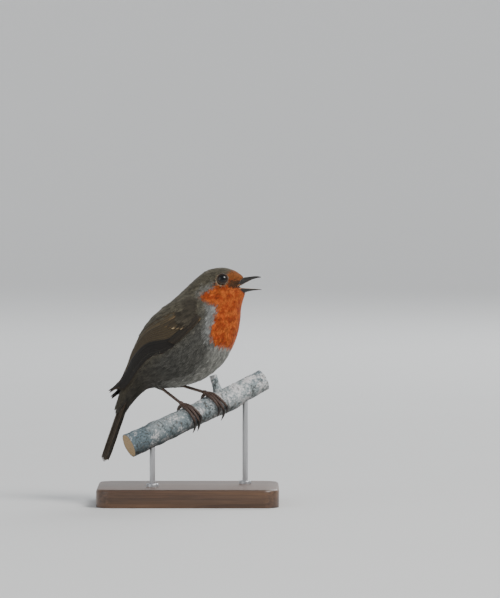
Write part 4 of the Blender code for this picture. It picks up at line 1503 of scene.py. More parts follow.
@dataclass(frozen=True)
class Tail:
    """The closed tail of twelve feathers, which lie over each other as a shallow roof.

    Attributes:
        root, tip: Forward and up of its ends.
        widths: Its whole width at the root and at the tip.
        roof: How much higher its middle lies than its edges.
        notch: How much shorter its middle feathers are.
    """

    root: tuple[float, float] = (-29.2, 77.0)
    tip: tuple[float, float] = (-48.0, 23.3)
    widths: tuple[float, float] = (9.5, 15.5)
    roof: float = 2.5
    notch: float = 1.6

    def build(self, random: Random) -> Piece:
        """Makes the tail."""
        root, tip = np.array(self.root), np.array(self.tip)
        length = float(np.linalg.norm(tip - root))
        ahead = (tip - root) / length
        above = np.array([ahead[1], -ahead[0]])
        shells = []
        order = [(number, side) for number in range(5, -1, -1) for side in (-1, 1)]
        for index, (number, side) in enumerate(order):
            half = 2.9 - 0.12 * number
            spread = [side * (0.16 + 0.165 * number) * (width / 2 - half * shrink)
                      for width, shrink in zip(self.widths, (0.5, 0.75))]
            reach = length - self.notch * (1.0 - number / 5) - (0.5 if number == 5 else 0.0)
            level = 0.95 - 0.36 * number + 0.06 * (side > 0)

            def place(share: Array, out: Array, lift: Array) -> Array:
                """Lays the feather in the tail."""
                across = spread[0] + (spread[1] - spread[0]) * share + side * out
                half_width = 0.5 * (self.widths[0] + (self.widths[1] - self.widths[0]) * share)
                high = level - self.roof * (across / half_width) ** 2 + lift
                forward = root[0] + ahead[0] * reach * share + above[0] * high
                up = root[1] + ahead[1] * reach * share + above[1] * high
                return np.stack([forward, across, up], -1)

            outer = half * (0.75 if number else 1.0) * (0.55 if number == 5 else 1.0)
            vane = Vane(outer, half * 1.15, shoulder=0.86, point=0.55, stem=0.2, camber=0.15,
                        thick=0.2, rows=34)
            tone = (0.22, 0.0, 0.35 if number == 0 else 0.1, 0.15 + 0.06 * number)
            shells.append(vane.shell(place, tone, (index, len(order)), random))
        return Shell.joined(shells).build("tail_feathers")


# ---------------------------------------------------------------- perch and stand
@dataclass(frozen=True)
class Bark:
    """The finish of the branch: smooth grey bark in cool patches, and clean sawn ends, with
    painted light towards its higher end and painted shade on its underside.

    Attributes:
        pale, blue, lilac, dark: Colours of the bark's patches; the dark one also paints shade on
            the branch's underside.
        pore: Colour of its raised pores.
        wood, ring: Colours of the sawn wood and of its growth rings.
    """

    pale: Colour = (0.30, 0.340, 0.35)
    blue: Colour = (0.140, 0.190, 0.215)
    lilac: Colour = (0.62, 0.61, 0.61)
    dark: Colour = (0.055, 0.056, 0.050)
    pore: Colour = (0.15, 0.12, 0.095)
    wood: Colour = (0.46, 0.34, 0.20)
    ring: Colour = (0.30, 0.19, 0.09)

    def paint(self) -> Material:
        """Makes the material, which reads where on the branch each point is."""
        paint = Paint("bark")
        end, radial = paint.carried("branch", "x"), paint.carried("branch", "y")
        pore, low = paint.carried("branch", "z"), paint.carried("branch", "w")
        broad = paint.noise(42.0, 2.0)
        patch = paint.noise(150.0, 4.0, rough=0.62)
        speck = paint.noise(900.0, 3.0, rough=0.6)
        wrinkle = paint.streaks((900.0, 220.0, 220.0), turn=(0.0, 0.39, -0.43))
        mottle = patch * 0.6 + speck * 0.4
        # Painted light: the bark grows paler and lighter towards the branch's higher end, on the
        # side that the light comes from.
        rise = paint.node("ShaderNodeSeparateXYZ", None, {0: paint.place()})
        rise = rise.eased(-0.036, 0.036)
        cool = (broad * 0.6 + patch * 0.4 + rise * 0.08).eased(0.46, 0.62)
        colour = paint.mix(cool, self.blue, self.pale)
        colour = paint.mix((mottle + rise * 0.05).eased(0.535, 0.62), colour, self.lilac)
        colour = paint.mix(mottle.eased(0.475, 0.40) * 0.75, colour, self.dark)
        colour = paint.mix(wrinkle.eased(0.42, 0.30) * 0.55, colour, self.dark)
        # Painted shade: the branch's underside is darkened.
        colour = paint.mix(low * 0.55, colour, self.dark)
        colour = paint.mix(pore * 0.75, colour, self.pore)
        # The level also rises towards the higher end, as painted light.
        colour = paint.shaded(colour, 0.38 + speck * 0.70 + rise * 0.28)
        rings = ((radial + patch * 0.05) * 46.0).maths("SINE")
        sawn = paint.mix((rings * 0.5 + 0.5).eased(0.35, 0.95), self.wood, self.ring)
        sawn = paint.shaded(sawn, 0.8 + speck * 0.4)
        colour = paint.mix(end, colour, sawn)
        relief = paint.bump(wrinkle * 0.6 + speck * 0.4, 0.00030, 0.7)
        return paint.done(Base_Color=colour, Roughness=0.68 + speck * 0.2, Normal=relief,
                          Specular_IOR_Level=0.3)


@dataclass(frozen=True)
class Branch:
    """A cut length of branch with a short sawn side shoot, sloping up to the bird's front.

    Attributes:
        centre: The middle of its length.
        plan, slope: Its heading seen from above, and its rise.
        reach: Its ends, as distances from the middle.
        radius, taper, bow: Its girth, how fast that shrinks, and the rise of its ends.
        swellings: Middle, spread, height, side and bias of each thicker place.
        ripples: Height, waves along and waves round of its gentle unevenness.
        shoot: The shoot's station, side, length, radius, flare, flare's length and lean.
        sunk: How far inside the bark the shoot starts.
        rough: Height and width of the bark's own unevenness.
        pores: How many raised pores it has.
        rings, turns: How many points it has along and round.
    """

    centre: tuple[float, float, float] = (6.5, 0.7, 50.2)
    plan: float = math.radians(25.0)
    slope: float = math.radians(22.9)
    reach: tuple[float, float] = (-46.0, 42.0)
    radius: float = 6.2
    taper: float = 0.009
    bow: float = 0.7
    swellings: tuple[tuple[float, ...], ...] = (
        (19.0, 7.5, 0.7, 2.6, 0.71), (-29.0, 3.2, 0.35, 0.9, 1.0))
    ripples: tuple[tuple[float, ...], ...] = ((0.12, 0.23, 2.0), (0.08, 0.61, 0.0))
    shoot: tuple[float, ...] = (14.6, math.radians(-20.0), 9.0, 2.05, 1.9, 2.6, math.radians(13.0))
    sunk: float = 3.0
    rough: tuple[float, float] = (0.16, 3.1)
    pores: int = 90
    rings: int = 300
    turns: int = 128

    def frame(self) -> tuple[Array, Array, Array]:
        """The branch's direction, its upward normal, and its normal to the bird's right."""
        flat = math.cos(self.slope)
        axis = np.array([flat * math.cos(self.plan), flat * math.sin(self.plan),
                         math.sin(self.slope)])
        near = np.array([math.sin(self.plan), -math.cos(self.plan), 0.0])
        return axis, np.cross(near, axis), near

    def core(self, station: Array) -> Array:
        """Points of the centre line."""
        axis, top, _ = self.frame()
        middle, half = sum(self.reach) / 2, (self.reach[1] - self.reach[0]) / 2
        station = np.asarray(station, float)[..., None]
        sag = top * self.bow * ((station - middle) / half) ** 2
        return np.array(self.centre) + axis * station + sag

    def girth(self, station: Array, turn: Array) -> Array:
        """The radius at stations and turns."""
        radius = self.radius - self.taper * station
        for middle, spread, height, side, bias in self.swellings:
            rise = height * np.exp(-(((station - middle) / spread) ** 2))
            radius = radius + rise * (1.0 + bias * np.cos(turn - side))
        for height, waves, turns in self.ripples:
            radius = radius + height * np.sin(waves * station + turns * turn)
        return radius

    def point(self, station: Array, turn: Array, lift: Array | float = 0.0) -> Array:
        """Points at a height over the bark, at an angle from the top to the bird's right."""
        _, top, near = self.frame()
        station, turn = both(station, turn)
        outward = top * np.cos(turn)[..., None] + near * np.sin(turn)[..., None]
        return self.core(station) + outward * (self.girth(station, turn) + lift)[..., None]

    @staticmethod
    def _capped(rings: Array) -> Array:
        """Adds shrinking rings at both ends, so that the sawn faces have points on them."""
        first, last = ([ring.mean(0) + (ring - ring.mean(0)) * share
                        for share in (0.97, 0.9, 0.7, 0.45, 0.2)] for ring in rings[[0, -1]])
        return np.concatenate([np.array(first[::-1]), rings, np.array(last)])

    def _rough(self, points: Array, outward: Array) -> Array:
        """Lifts points by the bark's own unevenness."""
        height, width = self.rough
        lift = [height * noise.fractal(Vector(p) / width, 0.6, 2.1, 4) for p in points]
        return points + outward * np.array(lift)[:, None]

    def build(self, random: Random) -> Piece:
        """Makes the branch."""
        _, top, near = self.frame()
        station, turn = grid(np.linspace(*self.reach, self.rings), circle(self.turns))
        pores = np.zeros(station.shape)
        for _ in range(self.pores):
            at, side = random.uniform(*self.reach), random.uniform(-np.pi, np.pi)
            long, wide = random.uniform(0.28, 0.5), random.uniform(0.5, 1.3)
            off = np.mod(turn - side + np.pi, 2 * np.pi) - np.pi
            far = ((station - at) / long) ** 2 + (off * self.radius / wide) ** 2
            pores = np.maximum(pores, np.exp(-far * 1.4))
        rings = self.point(station, turn, 0.22 * pores)
        outward = top * np.cos(turn)[..., None] + near * np.sin(turn)[..., None]
        shape = rings.shape
        rings = self._rough(rings.reshape(-1, 3), outward.reshape(-1, 3)).reshape(shape)
        branch = tube_shell(self._capped(rings)).build("branch")
        shoot = self._shoot()
        turn_outward(branch)
        turn_outward(shoot)
        apply_modifier(branch, "BOOLEAN", operation="UNION", solver="EXACT", object=shoot)
        bpy.data.objects.remove(shoot, do_unlink=True)
        self._mark(branch, station, turn, pores)
        smooth(branch, 42.0)
        return branch

    def _shoot_line(self) -> tuple[Array, Array]:
        """Where the side shoot starts inside the branch, and which way it grows."""
        axis, top, near = self.frame()
        at, side, *_, lean = self.shoot
        out = top * math.cos(side) + near * math.sin(side)
        foot = self.point(np.array(at), np.array(side), -self.sunk)
        return foot, out * math.cos(lean) + axis * math.sin(lean)

    def _shoot(self) -> Piece:
        """Makes the side shoot."""
        foot, heading = self._shoot_line()
        length, radius, flare, fade = self.shoot[2:6]
        far = np.linspace(0.0, length + self.sunk, 70)
        _, sides, ups = path_frames(foot + heading * far[:, None], self.frame()[0])
        girth = radius + flare * np.exp(-far / fade)
        ring = spokes(sides, ups, circle(64))
        rings = (foot + heading * far[:, None])[:, None] + ring * girth[:, None, None]
        rough = self._rough(rings.reshape(-1, 3), ring.reshape(-1, 3)).reshape(rings.shape)
        return tube_shell(self._capped(rough)).build("shoot")

    def _mark(self, branch: Piece, station: Array, turn: Array, pores: Array) -> None:
        """Writes how far each point is a sawn end, its distance from the pith, its pores, and how
        far it lies on the underside, where shade is painted.
        """
        axis, top, near = self.frame()
        points = points_of(branch)
        at = (points - np.array(self.centre)) @ axis
        off = points - self.core(at)
        across = np.stack([off @ top, off @ near], -1)
        radial = np.linalg.norm(across, axis=1)
        side = np.arctan2(across[:, 1], across[:, 0])
        whole = self.girth(at, side)
        sawn = np.minimum(at - self.reach[0], self.reach[1] - at) < 0.02
        sawn &= radial < whole * 0.955
        foot, heading = self._shoot_line()
        length, radius = self.shoot[2:4]
        far = (points - foot) @ heading
        from_pith = np.linalg.norm(points - foot - far[:, None] * heading, axis=1)
        tip = (far > length + self.sunk - 0.02) & (from_pith < radius * 0.93)
        rows = np.rint((at - self.reach[0]) / (self.reach[1] - self.reach[0]) * (len(station) - 1))
        columns = np.rint(np.mod(side, 2 * np.pi) / (2 * np.pi) * turn.shape[1])
        pore = pores[np.clip(rows.astype(int), 0, len(station) - 1),
                     columns.astype(int) % turn.shape[1]]
        pore = np.where(radial > whole + 1.2, 0.0, pore)
        pith = np.where(tip, from_pith / self.radius * 1.4, radial / self.radius)
        # How far each point lies on the branch's underside, which the bark darkens as painted
        # shade.
        low = ease(np.cos(side), 0.2, -0.9)
        values = np.stack([(sawn | tip).astype(float), pith, pore, low], 1)
        carry(branch, branch=values)


@dataclass(frozen=True)
class Stand:
    """A flat wooden base and two slim metal rods that carry the branch.

    Attributes:
        branch: What the rods carry.
        size: The base's length, width and height.
        corner: The radius of its corners seen from above.
        edge, soft: The width of its rounded upper edges, and of all the smaller ones.
        rod: The rods' radius.
        stations: Where the rods meet the branch.
        collar: The radius and height of the ring at each rod's foot.
        sunk: How far under the branch's centre line each rod ends.
    """

    branch: Branch
    size: tuple[float, float, float] = (100.0, 76.0, 10.0)
    corner: float = 9.0
    edge: float = 1.6
    soft: float = 0.5
    rod: float = 1.5
    stations: tuple[tuple[str, float], ...] = (("low", -31.0), ("high", 30.0))
    collar: tuple[float, float] = (3.4, 1.8)
    sunk: float = 2.0

    def base(self) -> Piece:
        """Makes the base from a cube with its corners and edges rounded."""
        deselect()
        bpy.ops.mesh.primitive_cube_add(size=1.0, location=(0, 0, self.size[2] / 2 * MM))
        base = bpy.context.object
        base.scale = [length * MM for length in self.size]
        settle(base)
        top = self.size[2] * MM
        self._round(base, lambda edge: abs(edge[0].z - edge[1].z) > 1e-4, self.corner, 12)
        self._round(base, lambda edge: all(abs(end.z - top) < 1e-6 for end in edge), self.edge, 5)
        self._round(base, lambda edge: all(end.z < 1e-6 for end in edge), self.soft, 2)
        base.name = base.data.name = "base"
        smooth(base, 40.0)
        return base

    @staticmethod
    def _round(piece: Piece, wanted: Callable[[tuple[Vector, Vector]], bool],
               width: float, segments: int) -> None:
        """Bevels the edges that a test picks."""
        activate(piece)
        bpy.ops.object.mode_set(mode="EDIT")
        bpy.ops.mesh.select_all(action="DESELECT")
        bpy.ops.mesh.select_mode(type="EDGE")
        data = bmesh.from_edit_mesh(piece.data)
        for edge in data.edges:
            edge.select_set(wanted((edge.verts[0].co, edge.verts[1].co)))
        bmesh.update_edit_mesh(piece.data)
        bpy.ops.mesh.bevel(offset=width * MM, segments=segments, profile=0.5, affect="EDGES")
        bpy.ops.object.mode_set(mode="OBJECT")
        deselect()

    @staticmethod
    def _cylinder(radius: float, low: float, high: float, over: Array) -> Piece:
        """Makes an upright cylinder between two heights, over a point of the plan."""
        deselect()
        bpy.ops.mesh.primitive_cylinder_add(
            vertices=64, radius=radius * MM, depth=(high - low) * MM,
            location=(over[0] * MM, over[1] * MM, 0.5 * (low + high) * MM))
        made = bpy.context.object
        settle(made)
        return made

    def rods(self) -> list[Piece]:
        """Makes each rod, from its collar on the base up into the branch."""
        made = []
        radius, height = self.collar
        low = self.size[2]
        rim = (low + 0.9 * height) * MM
        for name, station in self.stations:
            head = self.branch.core(np.array(station))
            rod = self._cylinder(self.rod, low, float(head[2]) - self.sunk, head)
            collar = self._cylinder(radius, low, low + height, head)
            self._round(collar, lambda edge: all(end.z > rim for end in edge), self.soft, 4)
            made.append(join([rod, collar], f"rod_{name}"))
            smooth(made[-1], 40.0)
        return made


@dataclass(frozen=True)
class Walnut:
    """The finish of the base: dark, close-grained wood under a satin varnish."""

    light: Colour = (0.145, 0.072, 0.034)
    dark: Colour = (0.045, 0.021, 0.011)

    def paint(self) -> Material:
        """Makes the material, with its grain along the base."""
        paint = Paint("walnut")
        wide = paint.streaks((9.0, 150.0, 90.0))
        grain = paint.streaks((22.0, 900.0, 700.0), 5.0, 0.65)
        pores = paint.streaks((130.0, 3800.0, 3000.0), 2.0)
        figure = (wide * 0.6 + grain * 0.55).eased(0.36, 0.80)
        colour = paint.mix(figure, self.dark, self.light)
        colour = paint.shaded(colour, 0.72 + pores * 0.55)
        relief = paint.bump(pores * 0.6 + grain * 0.4, 0.00006, 0.5)
        return paint.done(Base_Color=colour, Roughness=0.34 + grain * 0.18, Normal=relief,
                          Coat_Weight=0.35, Coat_Roughness=0.22)


@dataclass(frozen=True)
class Steel:
    """The finish of the rods: fine satin steel, brushed round."""

    tone: Colour = (0.50, 0.50, 0.51)

    def paint(self) -> Material:
        """Makes the material."""
        paint = Paint("satin_steel")
        lines = paint.streaks((300.0, 300.0, 9000.0))
        cloud = paint.noise(160.0, 2.0)
        colour = paint.shaded(self.tone, 0.86 + lines * 0.2)
        rough = 0.26 + lines * 0.12 + cloud * 0.08
        return paint.done(Base_Color=colour, Metallic=1.0, Roughness=rough,
                          Normal=paint.bump(lines, 0.00002, 0.5))


# ---------------------------------------------------------------- studio
def aimed(data: bpy.types.ID, place: Vector, target: Vector) -> Piece:
    """Puts a light or a camera into the scene, facing a target."""
    made = linked(data.name, data)
    made.location = place
    made.rotation_euler = (target - place).to_track_quat("-Z", "Y").to_euler()
    return made


@dataclass(frozen=True)
class Lamp:
    """A soft square light that faces the model."""

    name: str
    place: tuple[float, float, float]
    size: float
    power: float
    tint: Colour = (1.0, 1.0, 1.0)

    def build(self, target: Vector) -> None:
        """Hangs the light."""
        light = bpy.data.lights.new(self.name, "AREA")
        light.shape = "SQUARE"
        light.size, light.energy, light.color = self.size, self.power, self.tint
        aimed(light, Vector(self.place), target)


@dataclass(frozen=True)
class Studio:
    """The plain pale floor, the soft light and the camera.

    Attributes:
        target: The point that the camera looks at, in metres.
        distance, elevation: How far away the camera is, and how many degrees above level.
        lens, sensor: Its focal length and its picture's height in millimetres.
        floor: The flat floor's radius and the radius of the curve up from it, in metres.
        lamps: Its lights.
        air, glow: The colour and the strength of the light from all round.
    """

    target: tuple[float, float, float] = (0.0341, 0.0, 0.11275)
    distance: float = 3.0
    elevation: float = 2.0
    lens: float = 328.0
    sensor: float = 36.0
    floor: tuple[float, float] = (4.6, 1.6)
    lamps: tuple[Lamp, ...] = (
        Lamp("key", (1.7, -1.3, 2.2), 1.2, 78.0, (1.0, 0.98, 0.95)),
        Lamp("fill", (-2.2, -1.6, 1.2), 2.0, 14.0, (0.93, 0.97, 1.0)),
        Lamp("back", (0.9, 2.0, 1.7), 1.4, 34.0, (0.95, 0.98, 1.0)),
    )
    air: Colour = (0.93, 0.96, 1.0)
    glow: float = 0.50

    def build(self) -> None:
        """Makes the camera, the lights, the world and the floor."""
        target, rise = Vector(self.target), math.radians(self.elevation)
        lens = bpy.data.cameras.new("camera")
        lens.lens, lens.clip_end, lens.sensor_fit = self.lens, 100.0, "VERTICAL"
        lens.sensor_width = lens.sensor_height = self.sensor
        away = self.distance * Vector((0.0, -math.cos(rise), math.sin(rise)))
        bpy.context.scene.camera = aimed(lens, target + away, target)
        for lamp in self.lamps:
            lamp.build(target)
        self._world()
        self._floor()

    def _world(self) -> None:
        """Fills the room with soft, slightly cool light."""
        world = bpy.data.worlds.new("room")
        world.use_nodes = True
        inputs = world.node_tree.nodes["Background"].inputs
        inputs["Color"].default_value = (*self.air, 1.0)
        inputs["Strength"].default_value = self.glow
        bpy.context.scene.world = world

    def _floor(self) -> None:
        """Makes a round floor that curves up into a low wall all round."""
        radius, curl = self.floor
        deselect()
        bpy.ops.mesh.primitive_circle_add(vertices=128, radius=radius, fill_type="NGON")
        floor = bpy.context.object
        floor.name = floor.data.name = "floor"
        bpy.ops.object.mode_set(mode="EDIT")
        steps = 12
        for step in range(steps):
            turn, later = (math.pi / 2 * k / steps for k in (step, step + 1))
            out, further = (radius + curl * math.sin(a) for a in (turn, later))
            rise = curl * (math.cos(turn) - math.cos(later))
            bpy.ops.mesh.select_all(action="DESELECT")
            data = bmesh.from_edit_mesh(floor.data)
            for edge in [edge for edge in data.edges if edge.is_boundary]:
                edge.select_set(True)
            bmesh.update_edit_mesh(floor.data)
            bpy.ops.mesh.extrude_region_move(TRANSFORM_OT_translate={"value": (0, 0, rise)})
            bpy.ops.transform.resize(value=(further / out, further / out, 1.0),
                                     center_override=(0.0, 0.0, 0.0))
        bpy.ops.object.mode_set(mode="OBJECT")
        smooth(floor, 60.0)
        paint = Paint("floor")
        cloud = paint.noise(6.0, 2.0)
        away = paint.node("ShaderNodeVectorMath", {"operation": "LENGTH"}, {0: paint.place()},
                          "Value")
        level = 0.66 + away.eased(0.2, radius) * 0.22 + cloud * 0.02
        glow = away.eased(0.6, 0.9 * radius) * 0.12
        floor.data.materials.append(paint.done(
            Base_Color=paint.shaded((1.0, 1.0, 0.99), level), Roughness=0.9,
            Emission_Color=paint.shaded((1.0, 1.0, 1.0), glow), Emission_Strength=1.0))


# ---------------------------------------------------------------- head
@dataclass(frozen=True)
class Horn:
    """The finish of the bill and its lining: dark horn outside, warm flesh inside, with painted
    shade deeper in the mouth and in the nostrils.
    """

    horn: Colour = (0.016, 0.014, 0.012)
    worn: Colour = (0.060, 0.050, 0.040)
    flesh: Colour = (0.46, 0.19, 0.060)
    deep: Colour = (0.20, 0.045, 0.020)

    def paint(self, name: str) -> Material:
        """Makes the material from the shares of lining, nostril and length."""
        paint = Paint(name)
        inside, nostril = paint.carried("bill", "x"), paint.carried("bill", "y")
        along = paint.carried("bill", "z")
        grain = paint.streaks((500.0, 1800.0, 1800.0), 3.0, 0.6)
        fine = paint.noise(2600.0, 2.0)
        shell = paint.mix((along + grain * 0.3).eased(0.55, 0.0), self.horn, self.worn)
        # The lining darkens towards the bill's base and the throat: painted shade deeper in the
        # mouth.
        flesh = paint.mix((along + fine * 0.2).eased(0.35, 0.0), self.flesh, self.deep)
        colour = paint.mix(inside, shell, flesh)
        # The nostril is painted near-black: painted shade of its opening, over a shallow dent.
        colour = paint.mix(nostril, colour, (0.002, 0.002, 0.002))
        colour = paint.shaded(colour, 0.78 + grain * 0.44)
        return paint.done(Base_Color=colour, Roughness=0.30 + grain * 0.2,
                          Normal=paint.bump(grain * 0.5 + fine * 0.5, 0.00005, 0.5),
                          Specular_IOR_Level=0.5)


@dataclass(frozen=True)
class Bill:
    """The open bill, its lining, the tongue and the bristles at its corners.

    Attributes:
        upper, lower: For each section, the ridge's forward and up, the cutting edge's, and
            half the width.
        shape: Out and up of the outside from the ridge to the cutting edge, as shares.
        hollows: How deep the palate and the lower trough are, as shares of the height.
        nostril: Place along, place round, and size along and round of the nostril.
        tongue: Forward, up and half width along the tongue.
        corner: Forward and up along the soft corner of the mouth.
        hairs: How many bristles stand on each side.
    """

    upper: tuple[tuple[float, ...], ...] = (
        (30.2, 124.3, 25.2, 118.95, 4.4),
        (31.4, 124.85, 27.0, 119.75, 4.1),
        (32.7, 125.0, 29.5, 120.6, 3.35),
        (34.5, 125.25, 32.4, 122.05, 2.45),
        (36.7, 125.5, 35.3, 123.5, 1.6),
        (38.9, 125.5, 38.1, 124.35, 0.9),
        (40.7, 125.15, 40.5, 124.8, 0.22),
    )
    lower: tuple[tuple[float, ...], ...] = (
        (30.8, 116.0, 25.2, 119.25, 4.3),
        (31.9, 116.4, 26.6, 119.0, 4.0),
        (33.1, 116.9, 30.0, 118.85, 3.2),
        (35.3, 117.4, 33.8, 118.65, 2.15),
        (38.0, 117.75, 37.4, 118.5, 1.2),
        (40.9, 117.95, 40.8, 118.25, 0.22),
    )
    shape: tuple[tuple[float, float], ...] = (
        (0.0, 1.0), (0.20, 0.975), (0.42, 0.87), (0.63, 0.70), (0.80, 0.48), (0.92, 0.25),
        (1.0, 0.0))
    hollows: tuple[float, float] = (0.26, 0.46)
    nostril: tuple[float, float, float, float] = (0.235, 0.60, 0.050, 0.15)
    tongue: tuple[tuple[float, ...], ...] = (
        (27.4, 118.65, 1.25), (29.0, 118.6, 1.35), (31.5, 118.5, 1.05), (34.2, 118.45, 0.7),
        (35.9, 118.4, 0.32))
    corner: tuple[tuple[float, float], ...] = (
        (29.6, 121.1), (27.8, 120.1), (26.3, 119.5), (25.7, 119.1), (26.6, 118.9), (28.4, 118.75),
        (30.2, 118.65))
    hairs: int = 7

    def half(self, name: str) -> Piece:
        """Makes the upper or the lower half, named `bill_upper` or `bill_lower`."""
        top = name == "bill_upper"
        table, sign = np.array(self.upper if top else self.lower), 1 if top else -1
        hollow = self.hollows[0 if top else 1]
        at = np.linspace(0.0, len(table) - 1.0, 70)
        rows = curve(table, at)
        around = np.linspace(0.0, len(self.shape) - 1.0, 15)
        outside = read(self.shape, len(around))
        inside = [(0.93, 0.02), (0.82, 0.05), (0.62, 0.6 * hollow), (0.36, 0.9 * hollow),
                  (0.0, hollow)]
        profile = np.concatenate([outside, inside])
        lining = np.concatenate([np.zeros(len(outside)), [0.25, 0.8], np.ones(len(inside) - 2)])
        mirror = profile[-2:0:-1] * (-1, 1)
        ring = np.concatenate([profile, mirror])
        lining = np.concatenate([lining, lining[-2:0:-1]])
        place = np.concatenate([around, np.full(len(inside), 99.0)]) / (len(self.shape) - 1)
        place = np.concatenate([place, place[-2:0:-1]])
        share = (at / at[-1])[:, None]
        s_along, s_round, long, wide = self.nostril
        dent = np.exp(-(((share - s_along) / long) ** 2 + ((place - s_round) / wide) ** 2) * 1.6)
        dent = dent * top
        high = ring[:, 1][None] * np.ones_like(share)
        out = ring[:, 0][None] * (1.0 - 0.20 * dent)
        ridge, edge, half = rows[:, None, 0:2], rows[:, None, 2:4], rows[:, None, 4]
        side = edge + (ridge - edge) * high[..., None]
        rings = np.stack([side[..., 0], out * half * sign, side[..., 1]], -1)
        layer = np.stack([lining[None] * np.ones_like(share), ease(dent, 0.45, 0.8),
                          share * np.ones_like(high), np.zeros_like(high)], -1)
        made = tube_shell(to_model(rings), {"bill": layer}).turned_out().build(name)
        smooth(made, 60.0)
        return made

    @staticmethod
    def _tube(path: Array, girth: Array, flat: float, count: int, along: Array,
              inside: float = 1.0) -> Shell:
        """A soft tube along a path of the bird, carrying the lining's colours.

        Args:
            path: Its centre line.
            girth: Its radius at each point.
            flat: Its height as a share of its width.
            count: How many points it has round it.
            along: What its colours take for their place along the bill.
            inside: How far it has the lining's colours instead of the horn's.
        """
        _, sides, ups = path_frames(path, np.array([0.0, 0.0, 1.0]))
        rings = path[:, None] + spokes(sides, ups * flat, circle(count)) * girth[:, None, None]
        layer = np.zeros((*rings.shape[:2], 4))
        layer[..., 0], layer[..., 2] = inside, along[:, None]
        return tube_shell(to_model(rings), {"bill": layer}).turned_out()

    def lining(self) -> Piece:
        """Makes the soft throat and the corners of the mouth."""
        shells, count = [], 40
        corner = read(self.corner, count)
        reach = np.abs(np.linspace(-1, 1, count))
        for side in Side:
            out = side.value * (4.15 - 0.55 * reach**2)
            path = np.stack([corner[:, 0], out, corner[:, 1]], -1)
            shells.append(self._tube(path, 0.42 * (1.0 - 0.75 * reach**3), 1.0, 14,
                                     0.12 + 0.5 * reach))
        across = np.linspace(-3.9, 3.9, 30)
        path = np.stack([26.4 + 0.02 * across**2, across, 119.25 + 0 * across], -1)
        none = np.zeros(len(across))
        shells.append(self._tube(path, 0.95 + none, 0.75, 20, none))
        return Shell.joined(shells).build("mouth_lining")

    def tongue_piece(self) -> Piece:
        """Makes the flat, pointed tongue."""
        rows = read(self.tongue, 40)
        turn = circle(28)
        groove = 0.10 * np.exp(-((np.cos(turn) / 0.3) ** 2)) * (np.sin(turn) > 0)
        high = 0.26 * np.sin(turn) - groove
        forward, up, wide = np.moveaxis(rows[:, None], -1, 0)
        rings = np.stack([forward + 0 * turn, wide * np.cos(turn), up + high * np.sqrt(wide)], -1)
        layer = np.zeros((*rings.shape[:2], 4))
        layer[..., 0], layer[..., 2] = 1.0, np.linspace(0.3, 1.0, len(rows))[:, None]
        return tube_shell(to_model(rings), {"bill": layer}).turned_out().build("tongue_blade")

    def bristles(self, random: Random) -> Piece:
        """Makes the fine dark bristles over the corners of the mouth."""
        shells = []
        for side in Side:
            for k in range(self.hairs):
                out = side.value * (4.75 - 0.16 * k)
                start = np.array([26.6 + 0.55 * k, out, 121.4 + 0.42 * k])
                reach = random.uniform(2.4, 3.6)
                lean = np.array([0.72, side.value * 0.42, -0.30 + random.uniform(-0.2, 0.1)])
                share = np.linspace(0, 1, 8)[:, None]
                path = start + lean * reach * share + np.array([0, 0, -0.8]) * share**2
                shells.append(self._tube(path, np.linspace(0.075, 0.02, 8), 1.0, 6,
                                         np.ones(8), 0.0))
        return Shell.joined(shells).build("bristles")


@dataclass(frozen=True)
class Glass:
    """The finish of the eyes: a dark brown iris round a black pupil, under a wet surface."""

    iris: Colour = (0.026, 0.012, 0.006)
    rim: Colour = (0.008, 0.004, 0.003)

    def paint(self) -> Material:
        """Makes the material from how far each point lies from the pupil's middle."""
        paint = Paint("eye")
        far, round_it = paint.carried("eye", "x"), paint.carried("eye", "y")
        streak = paint.noise(1.0, 3.0, paint.spot(round_it * 60.0, far * 3.0))
        iris = paint.shaded(self.iris, 0.6 + streak * 0.9)
        colour = paint.mix(far.eased(0.46, 0.52), (0.0015, 0.0015, 0.0015), iris)
        colour = paint.mix(far.eased(0.60, 0.72), colour, self.rim)
        return paint.done(Base_Color=colour, Roughness=0.07 + streak * 0.02,
                          Specular_IOR_Level=0.38)


@dataclass(frozen=True)
class Lids:
    """The finish of the bare eyelids' rim."""

    tone: Colour = (0.060, 0.047, 0.035)

    def paint(self) -> Material:
        """Makes the material."""
        paint = Paint("eyelid")
        grain = paint.noise(3200.0, 2.0)
        return paint.done(Base_Color=paint.shaded(self.tone, 0.6 + grain * 0.8), Roughness=0.6,
                          Normal=paint.bump(grain, 0.0001, 0.8))


